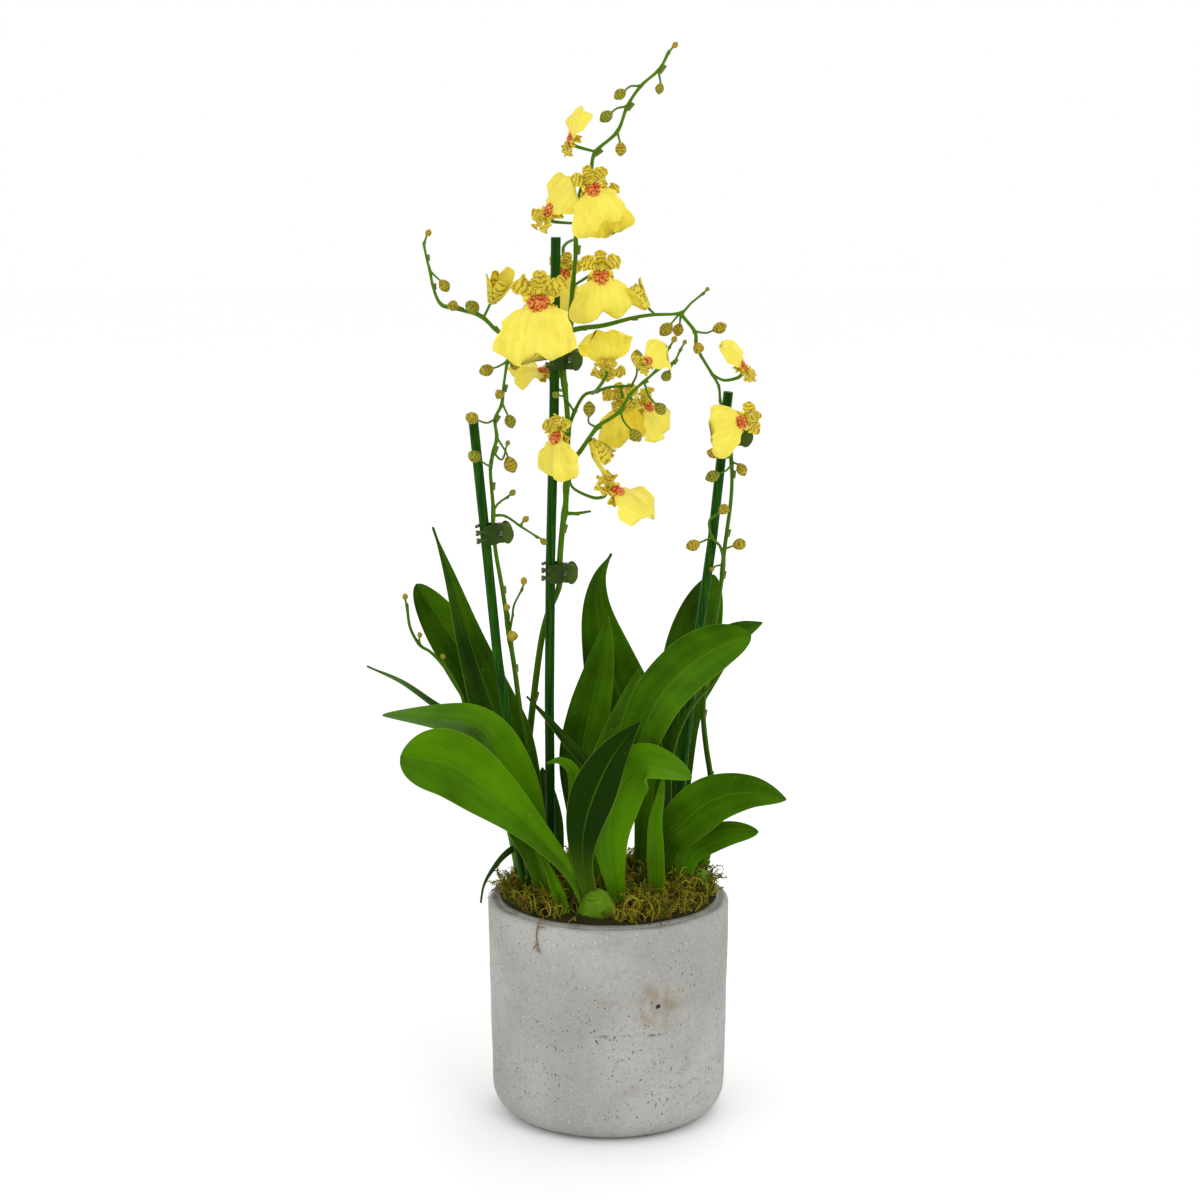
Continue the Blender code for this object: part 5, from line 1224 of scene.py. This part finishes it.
# %% One spray, gathered branch by branch
FLOWERING_SPRAY = "spray_tall"
SPRAY_WITHOUT_SCALES = "spray_young"
RECEPTACLE = 3.0
LONG_STALK = 11.0
LIP_SHARE = 1.3
BUD_SWELL = 0.98
BRANCH_SIDES = 12
BUD_STALK = (0.75, 0.55, 8)
BLOOM_STALK = (0.75, 1.15, 10)
OPENING_STALK = (0.8, 0.8, 8)
OPENING_PETALS = 5


def route_length(points):
    return sum((b - a).length for a, b in zip(points, points[1:]))


def thickened(line, start_radius, end_radius, joints):
    """Radii along a stem, larger near each joint."""
    radii = []
    for index, point in enumerate(line):
        radius = start_radius + (end_radius - start_radius) * index / (len(line) - 1)
        near = min(((point - joint).length for joint in joints), default=99)
        radii.append(radius * (1 + 0.28 * math.exp(-(near / (1.4 * start_radius + 0.4)) ** 2)))
    return radii


def opening_petal(root, way, aside, half_sizes, spread):
    """One petal of a flower that has begun to open."""
    over = way.cross(aside)

    def place(u, v):
        belly = (math.sin(math.pi * (0.12 + 0.5 * v)) * 0.7 + spread * v * v) * half_sizes[0]
        half = half_sizes[0] * 0.72 * math.sin(math.pi * (0.1 + 0.76 * v)) ** 0.6
        bend = (1 - math.cos(u * 0.9)) * half * 0.5
        ripple = 0.6 * math.sin(9 * v + 4 * u) * abs(u)
        return root + way * (half_sizes[2] * 2.0 * v) + aside * (belly - bend + ripple) + over * u * half

    return place


class Spray:
    """The stems of one spray, and the scales and buds on them."""

    def __init__(self, name):
        self.draft, self.chance = Draft(), random.Random(name)
        self.lines, self.stems, self.joints, self.scales, self.buds = [], [], [], [], []
        for route, start_radius, end_radius in SPRAYS[name]:
            self.add_branch([Vector(point) for point in route], start_radius, end_radius,
                            name != SPRAY_WITHOUT_SCALES)
        for start, bend, end, half_length in BUDS[name]:
            self.add_bud(Vector(start), Vector(bend), Vector(end), half_length * BUD_SWELL)
        if name == FLOWERING_SPRAY:
            for centre, faces, _, size, route in BLOOMS.values():
                self.add_bloom_stalk([Vector(point) for point in route], Vector(centre),
                                     Vector(faces).normalized(), size)
            for start, end, half_sizes in OPENING:
                self.add_opening(Vector(start), Vector(end), half_sizes)
        for line, start_radius, end_radius, sides in self.stems:
            self.draft.rings(tube(line, thickened(line, start_radius, end_radius, self.joints), sides))

    def joint(self, point):
        """The nearest point of the branches, where something new starts."""
        self.joints.append(nearest_on(self.lines, point))
        return self.joints[-1]

    def add_scale(self, spot, way, size):
        self.scales.append((spot, way.normalized(), size, self.chance.random()))

    def add_branch(self, knots, start_radius, end_radius, scaly):
        if self.lines:
            knots[0] = self.joint(knots[0])
            self.add_scale(knots[0], knots[1] - knots[0], start_radius)
        self.lines.append(curve_through(knots, max(int(route_length(knots) / 2), 6)))
        self.stems.append((self.lines[-1], start_radius, end_radius, BRANCH_SIDES))
        for low, high in zip(knots[1:-1:2], knots[2::2]) if scaly else ():
            self.add_scale(low, high - low, start_radius * 0.95)

    def add_bud(self, start, bend, end, half_length):
        root = self.joint(start)
        knots = [root, bend, end] if route_length([root, bend, end]) > LONG_STALK else [root, end]
        line = curve_through(knots, 12)
        self.stems.append((line, *BUD_STALK))
        self.add_scale(root, line[2] - root, 0.95)
        way = (end - bend).normalized()
        self.buds.append((end + way * half_length * 0.7, way, half_length, self.chance.random()))

    def add_bloom_stalk(self, knots, centre, back, size):
        """The stalk runs into the round back of its bloom."""
        knots[0] = self.joint(knots[0])
        end = centre - back * (RECEPTACLE * size - 0.4)
        line = curve_through([*knots, end - back * 4.0, end], 22)
        self.stems.append((line, *BLOOM_STALK))
        self.add_scale(knots[0], line[2] - line[0], 1.0)

    def add_opening(self, start, end, half_sizes):
        """A flower that has begun to open: petals round a core, the first of them the lip."""
        root = nearest_on(self.lines, start)
        self.stems.append((curve_through([root, end], 10), *OPENING_STALK))
        way = (end - root).normalized()
        aside = way.orthogonal().normalized()
        foot = end + way * (half_sizes[2] * 0.7 - half_sizes[2])
        for number in range(OPENING_PETALS):
            turn = Matrix.Rotation(math.tau * number / OPENING_PETALS + 0.3, 3, way)
            is_lip = number == 0
            sizes = [half * (LIP_SHARE if is_lip else 1) for half in half_sizes]
            petal = opening_petal(foot, way, turn @ aside, sizes, 0.3 + 0.5 * (number % 3))
            add_sheet(self.draft, petal, 8, 12, lambda u, v: 0.6, finish=2 if is_lip else 1, tone=0.6)
        core = (half_sizes[0] * 0.55, half_sizes[1] * 0.55, half_sizes[2] * 0.9)
        self.draft.rings(ball(end + way * half_sizes[2] * 0.6, way, core, 16, 8), finish=2)


# %% [markdown]
# ## The blooms
# Each bloom has one wide, frilled, lemon yellow lip that hangs like a skirt, a warty orange-red crest
# at its neck, a short hooded column above it, and five small crinkled petals and sepals, greenish
# yellow with brown bars. The parts are thin sheets, so a bloom is a handful of them in its own frame:
# +Z is the way that it looks, and its lip hangs along -Y. No two have the same ripples.

# %% Petal finishes
lemon = Finish("lip", roughness=0.55, specular_ior_level=0.25, subsurface_weight=0.12,
               subsurface_scale=0.004)
lip_across, lip_along = lemon.across_and_along()
veins = ((lip_across * 46) + lemon.grain(120, 2) * 9).maths("SINE") * 0.5 + 0.5
# Stretched noise lays darker olive-yellow bands over the lip: painted shade in its folds.
fold_shade_noise = lemon.grain(1, 3, lemon.laid_out(lip_across, lip_along, (9, 1.6, 60)))
painted_fold_shade = lemon.smooth(fold_shade_noise, 0.5, 0.72)
neck = 1 - lemon.smooth(lip_along, 0.1, 0.3)
freckles = lemon.smooth(lemon.grain(620, 2), 0.5, 0.6) * neck
lip_colour = lemon.layered(
    lemon.mix(lemon.smooth(veins * 0.12 + lemon.grain(70, 4), 0.35, 0.8),
              tint(246, 230, 84), tint(234, 212, 50)),
    (painted_fold_shade * 0.45, tint(206, 184, 40)), (freckles * 0.75, tint(196, 110, 30)),
    (lemon.carried("under") * 0.35, tint(222, 212, 96)))
lip_skin = lemon.paint(lip_colour, height=veins * 0.3 + lemon.grain(160, 3) * 2, depth=0.0001)

barred = Finish("petal", roughness=0.55, specular_ior_level=0.25, subsurface_weight=0.1,
                subsurface_scale=0.003)
petal_across, petal_along = barred.across_and_along()
bars = (petal_along * 30 + barred.grain(360, 2) * 11).maths("SINE") * 0.5 + 0.5
inside = 1 - barred.smooth((petal_across - 0.5).maths("ABSOLUTE") * 2, 0.72, 1)
spots = barred.smooth(bars + barred.grain(900, 2) * 0.8, 1.0, 1.2) * inside
petal_colour = barred.mix(barred.grain(200, 3), tint(232, 212, 66), tint(198, 184, 36))
petal_colour = barred.mix(spots * 0.7, petal_colour, tint(128, 88, 16))
petal_skin = barred.paint(petal_colour, height=bars + barred.grain(400, 2), depth=0.0002)

warty = Finish("crest", roughness=0.4)
warts = warty.grain(850, 3)
crest_colour = warty.mix(warty.smooth(warts, 0.35, 0.5), tint(232, 176, 60), tint(206, 86, 24))
crest_colour = warty.mix(warty.smooth(warts, 0.52, 0.64), crest_colour, tint(160, 40, 14))
crest_skin = warty.paint(crest_colour, height=warts, depth=0.0004)

# %% The lip: a waist below the crest, then a skirt with a notch
LIP_LENGTH = 33.0
lip_half = profile((0, 6.0), (0.08, 5.3), (0.15, 5.4), (0.23, 9.8), (0.32, 13.4), (0.45, 15.6),
                   (0.62, 17.8), (0.78, 19.6), (0.9, 19.0), (0.96, 16.0), (1, 12.0))


def lip_place(phase):
    """The middle of a lip. Each phase gives other pleats, frills and notches."""
    def place(u, share):
        half = lip_half(share)
        edge = max(abs(u), share) ** 6 * min(1, share * 2.2)
        lean = 1 + 0.16 * math.sin(2.3 * phase) * u * share
        gape = 1 + 0.7 * math.sin(3.1 * phase)
        turn = math.atan2(u * half, LIP_LENGTH * share - 11)
        notch = 5.0 * gape * (1 - abs(u)) ** 2 * share ** 6
        swell = 4.5 * math.sin(0.85 * math.pi * share) - 4.0 * u * u * share
        pleats = 1.5 * math.cos(2.1 * math.pi * u + phase) + 1.6 * math.sin(3.9 * u - phase)
        wave = (pleats + 1.1 * math.sin(9 * u + 2.3 * phase) * share) * share ** 1.3
        frill = (2.3 * math.sin(4.3 * turn + phase) + 1.2 * math.sin(9.1 * turn - phase)) * edge
        scallop = (1.3 * math.sin(5.7 * turn + 2 * phase) + 0.7 * math.sin(12.3 * turn + phase)) * edge
        bow = 5.0 * u * u - 3.5 * u * math.sin(2.3 * phase)
        return Vector((u * half * lean + scallop * math.sin(turn),
                       -1 - LIP_LENGTH * share + notch + bow * share - scallop * math.cos(turn),
                       1.5 + swell + wave + frill))

    return place


# %% The petals: two broad petals and three narrower sepals
# Degrees from the top, length, half width and how far the tip rises
PETALS = ((0, 11.8, 3.9, 3.0), (62, 13.8, 4.9, 2.0), (142, 11.5, 3.7, -3.0), (218, 11.5, 3.7, -3.0),
          (298, 13.8, 4.9, 2.0))
petal_half = profile((0, 0.45), (0.15, 0.42), (0.35, 0.72), (0.58, 1.0), (0.82, 0.82), (0.94, 0.5),
                     (1, 0.16))


def petal_place(degrees, length, half_width, rise, phase):
    turn = math.radians(degrees)
    out = Vector((math.sin(turn), math.cos(turn), 0))
    aside = Vector((-out.y, out.x, 0))

    def place(u, v):
        half = half_width * petal_half(v)
        crinkle = (1.9 * math.sin(11 * v + phase) + 1.1 * math.sin(19 * v - phase)) * u * abs(u)
        cup = 1.5 * math.sin(math.pi * v) * (abs(u) - 0.3) + 0.7 * math.sin(6 * v + phase)
        scallop = 1 + 0.12 * math.sin(13 * v + phase) + 0.09 * math.sin(23 * v - 2 * phase) * u
        return (out * (1.4 + (length - 1.4) * v) + aside * u * half * scallop
                + Vector((0, 0, rise * v + 0.6 + cup + crinkle)))

    return place


# %% A whole bloom in its own frame
# The warts of the crest: centre and radius
CREST = ((0, -2.0, 3.4, 1.9), (2.4, -2.0, 3.3, 1.6), (-2.4, -2.0, 3.3, 1.6), (1.9, -4.9, 4.1, 1.8),
         (-1.9, -4.9, 4.1, 1.8), (4.1, -3.6, 3.3, 1.4), (-4.1, -3.6, 3.3, 1.4), (0, -6.9, 4.9, 1.7),
         (0, -4.4, 5.2, 1.5), (3.1, -6.7, 4.3, 1.2), (-3.1, -6.7, 4.3, 1.2), (1.4, -8.3, 4.9, 1.1),
         (-1.4, -8.3, 4.9, 1.1))


def ear_place(side):
    """One of the two small wings of the column."""
    def place(u, v):
        return Vector((side * (0.8 + 2.6 * v), 1.0 - 0.5 * v + u * (1.5 - 0.9 * v),
                       5.0 + 0.6 * math.sin(5 * v + u) + 0.5 * v))

    return place


def lobe_place(side):
    """One of the two small side lobes at the neck of the lip."""
    def place(u, v):
        return Vector((side * (4.6 + 2.6 * v), -2.2 + u * (2.1 - 1.1 * v) - 0.6 * v,
                       2.6 + 1.6 * v + 0.4 * math.sin(4 * u)))

    return place


def bloom_draft(seed):
    chance = random.Random(seed)
    draft = Draft()
    draft.rings(ball((0, 0, 0), (0, 0, 1), (2.6, 2.6, RECEPTACLE), 16, 8), finish=1)
    add_sheet(draft, lip_place(chance.uniform(0, 6)), 30, 26, lambda u, v: 0.75 - 0.35 * v)
    for petal in PETALS:
        add_sheet(draft, petal_place(*petal, chance.uniform(0, 6)), 8, 14, lambda u, v: 0.7 - 0.2 * v,
                  finish=1)
    for x, y, z, radius in CREST:
        far = Vector((x, y, z)) + Vector([chance.uniform(-0.25, 0.25) for _ in range(3)])
        draft.rings(ball(far, (chance.uniform(-0.4, 0.4), chance.uniform(-0.4, 0.4), 1),
                         (radius, radius, radius * 0.95), 12, 7), finish=2)
    column = curve_through(((0, 0.4, 1.0), (0, 1.3, 3.6), (0, 0.6, 5.8), (0, -0.6, 6.8)), 9)
    draft.rings(tube(column, [1.7, 1.7, 1.6, 1.5, 1.45, 1.4, 1.4, 1.3, 0.9], 12), finish=1)
    for side in (-1, 1):
        add_sheet(draft, ear_place(side), 5, 6, lambda u, v: 0.5, finish=1)
        add_sheet(draft, lobe_place(side), 6, 6, lambda u, v: 0.6)
    return draft


def bloom_frame(centre, faces, lip_way, size):
    """The bloom's own frame, in millimetres, at its size."""
    z = Vector(faces).normalized()
    y = -(Vector(lip_way) - z * Vector(lip_way).dot(z)).normalized()
    x = y.cross(z)
    turned = Matrix((x, y, z)).transposed().to_4x4()
    return Matrix.Translation(centre) @ turned @ Matrix.Diagonal((size, size, size, 1))


for number, (name, (*stance, _)) in enumerate(BLOOMS.items()):
    made = bloom_draft(number + 40).make(name.replace("bloom_", "flower_"), lip_skin, petal_skin,
                                         crest_skin, place=bloom_frame(*stance))
    dress(made, "petal", name)

# %% Stems, buds and scales of each spray
for name in SPRAYS:
    spray = Spray(name)
    dress(spray.draft.make(name.replace("spray_", "stems_"), stem_skin, petal_skin, lip_skin), "stem", name)
    dress(stood(name.replace("spray_", "buds_"), spray.buds, standing, bud, Size=1.0, Finish=bud_skin),
          "petal", name)
    dress(stood(name.replace("spray_", "scales_"), clear_of_clips(spray.scales), standing, scale,
                Size=1.0, Finish=scale_skin), "stem", name)
for template in (bud, scale):
    bpy.data.objects.remove(template)

# %% [markdown]
# ## The claw clips
# Small plastic claws hold each stem to its cane. A clip is two jaws on one pin: rounded finger tabs on
# one side, curved prongs that close round the cane on the other, and a wire spring between them. The
# loose jaw turns on the pin, so it rides on its own body, and everything else of the clip stays.

# %% Clip finishes
bottle = Finish("clip plastic", roughness=0.22, ior=1.46, specular_ior_level=0.35,
                specular_tint=(0.35, 0.6, 0.25, 1))
# The carried tone paints the thin tab lighter and the thick body darker: painted light shining through the
# plastic, with a random mottle over it.
bottle_tone_and_painted_glow = bottle.carried("tone") + bottle.grain(160, 3) * 0.5 - 0.25
bottle_colour = bottle.mix(bottle_tone_and_painted_glow, tint(16, 34, 10), tint(78, 98, 30))
bottle_skin = bottle.paint(bottle_colour, bottle.grain(240, 2) * 0.12 + 0.08)
steel = Finish("spring wire", metallic=1.0)
steel_skin = steel.paint(steel.mix(steel.grain(800), tint(150, 150, 146), tint(196, 196, 192)),
                         steel.grain(1200) * 0.2 + 0.2)

# %% The jaw's shape in the clip's own frame: +Z along the cane, +X towards the tabs
JAW_LINE = ((17.2, 6.4), (15.4, 6.2), (13.0, 5.0), (10.0, 3.3), (7.6, 3.9), (4.5, 5.4), (1.5, 5.9),
            (-1.6, 5.4))
TAB_HALF_HEIGHT = profile((0, 1.2), (0.05, 3.6), (0.13, 5.6), (0.22, 6.3), (0.3, 5.8), (0.36, 4.6))
BODY_HALF_HEIGHT = profile((0.48, 4.8), (0.53, 5.6), (0.62, 6.0), (0.9, 6.0), (0.97, 5.6), (1, 4.8))
WINDOW = (0.3, 0.55)
ARM_HEIGHTS = (2.3, 5.6)
PRONG_LINE = ((0.4, 5.6), (-1.6, 5.2), (-3.9, 4.0), (-4.8, 1.7), (-4.2, -0.5))
PRONGS = {1: (-5.0, 0.0, 5.0), -1: (-2.5, 2.5)}
KNUCKLES = {1: ((-6.0, -4.0), (4.0, 6.0)), -1: ((-3.7, -1.8), (1.8, 3.7))}
PIN_X = 10.0
TAB_ENDS = 0.36
BODY_STARTS = 0.48
SPRING_TURNS = 4.5
SPRING_STEPS = 72
SPRING_RADIUS = 1.25
SPRING_HALF_HEIGHT = 1.35


def squared(turn, half_x, half_z):
    """A point of a rounded rectangle that lies across the jaw."""
    x, z = (math.copysign(abs(part) ** 0.5, part) for part in (math.cos(turn), math.sin(turn)))
    return Vector((x * half_x, 0, z * half_z))


def jaw_draft(side):
    """One jaw: side 1 is fixed and -1 is loose."""
    draft = Draft()
    line = curve_through([(x, side * y, 0) for x, y in JAW_LINE], 41)

    def on_line(v, height_here):
        spot, _ = along_line(line, v)
        return Vector((spot.x, spot.y, height_here))

    def thick(u, v):
        return 1.3 * (0.45 + 0.55 * math.sqrt(1 - u * u)) * (0.6 + 0.4 * math.sin(math.pi * v) ** 0.3)

    def tab(u, v):
        return on_line(TAB_ENDS * v, u * TAB_HALF_HEIGHT(TAB_ENDS * v))

    def body(u, v):
        reached = BODY_STARTS + (1 - BODY_STARTS) * v
        return on_line(reached, u * BODY_HALF_HEIGHT(reached))

    # Tab tone 0.6 is painted light shining through the thin tab; body tone 0.2 is painted shade where
    # little comes through.
    add_sheet(draft, tab, 14, 20, thick, tone=0.6)
    add_sheet(draft, body, 14, 20, thick, tone=0.2)
    for end in (-1, 1):
        def arm(u, v, end=end):
            middle, half = sum(ARM_HEIGHTS) / 2, (ARM_HEIGHTS[1] - ARM_HEIGHTS[0]) / 2
            return on_line(WINDOW[0] + (WINDOW[1] - WINDOW[0]) * v, end * (middle + u * half))

        add_sheet(draft, arm, 6, 14, lambda u, v: 1.2 * (0.5 + 0.5 * math.sqrt(1 - u * u)), tone=0.3)
    for height_here in PRONGS[side]:
        claw = curve_through([(x, side * y, height_here) for x, y in PRONG_LINE], 15)
        draft.rings(tube(claw, [1.05] * 11 + [0.98, 0.88, 0.72, 0.4], 12))
    for low, high in KNUCKLES[side]:
        middle = (low + high) / 2
        barrel = [Vector((PIN_X, 0, low + (high - low) * step / 6)) for step in range(7)]
        draft.rings(tube(barrel, [1.5, 1.7, 1.7, 1.7, 1.7, 1.7, 1.5], 20))
        web = [Vector((PIN_X, side * (0.6 + 2.7 * step / 5), middle)) for step in range(6)]
        draft.rings([[spot + squared(math.tau * step / 16, 1.5, (high - low) / 2 * 0.96)
                      for step in range(16)] for spot in web])
    return draft


def spring_and_pin(draft):
    """The pin through the knuckles, and the wire wound on it."""
    pin = [Vector((PIN_X, 0, z)) for z in np.linspace(-6.5, 6.5, 9)]
    draft.rings(tube(pin, [0.6] + [0.8] * 7 + [0.6], 14), finish=1)
    coil = []
    for share in (step / SPRING_STEPS for step in range(SPRING_STEPS + 1)):
        turn = math.tau * SPRING_TURNS * share
        coil.append(Vector((PIN_X + SPRING_RADIUS * math.cos(turn), SPRING_RADIUS * math.sin(turn),
                            SPRING_HALF_HEIGHT * (2 * share - 1))))
    coil.append(coil[-1] + Vector((-4.0, 2.6, 0.1)))
    draft.rings(tube(coil, [0.3] * len(coil), 7), finish=1)


def clip_frame(cane, height_here, tabs_point):
    centre, z = cane_point(cane, height_here)
    x = (Vector(tabs_point) - z * Vector(tabs_point).dot(z)).normalized()
    return Matrix.Translation(centre) @ Matrix((x, z.cross(x), z)).transposed().to_4x4()


# %% Make the clips
for name, (cane, height_here, tabs_point) in CLIPS.items():
    place = clip_frame(cane, height_here, tabs_point)
    held = jaw_draft(1)
    spring_and_pin(held)
    dress(held.make(f"clip_{name}_held", bottle_skin, steel_skin, place=place, sharp=45), "clip",
          f"clip_{name}_fixed_jaw")
    dress(jaw_draft(-1).make(f"clip_{name}_turning", bottle_skin, place=place, sharp=45), "clip",
          f"clip_{name}_loose_jaw", body=f"clip_{name}_loose_jaw")
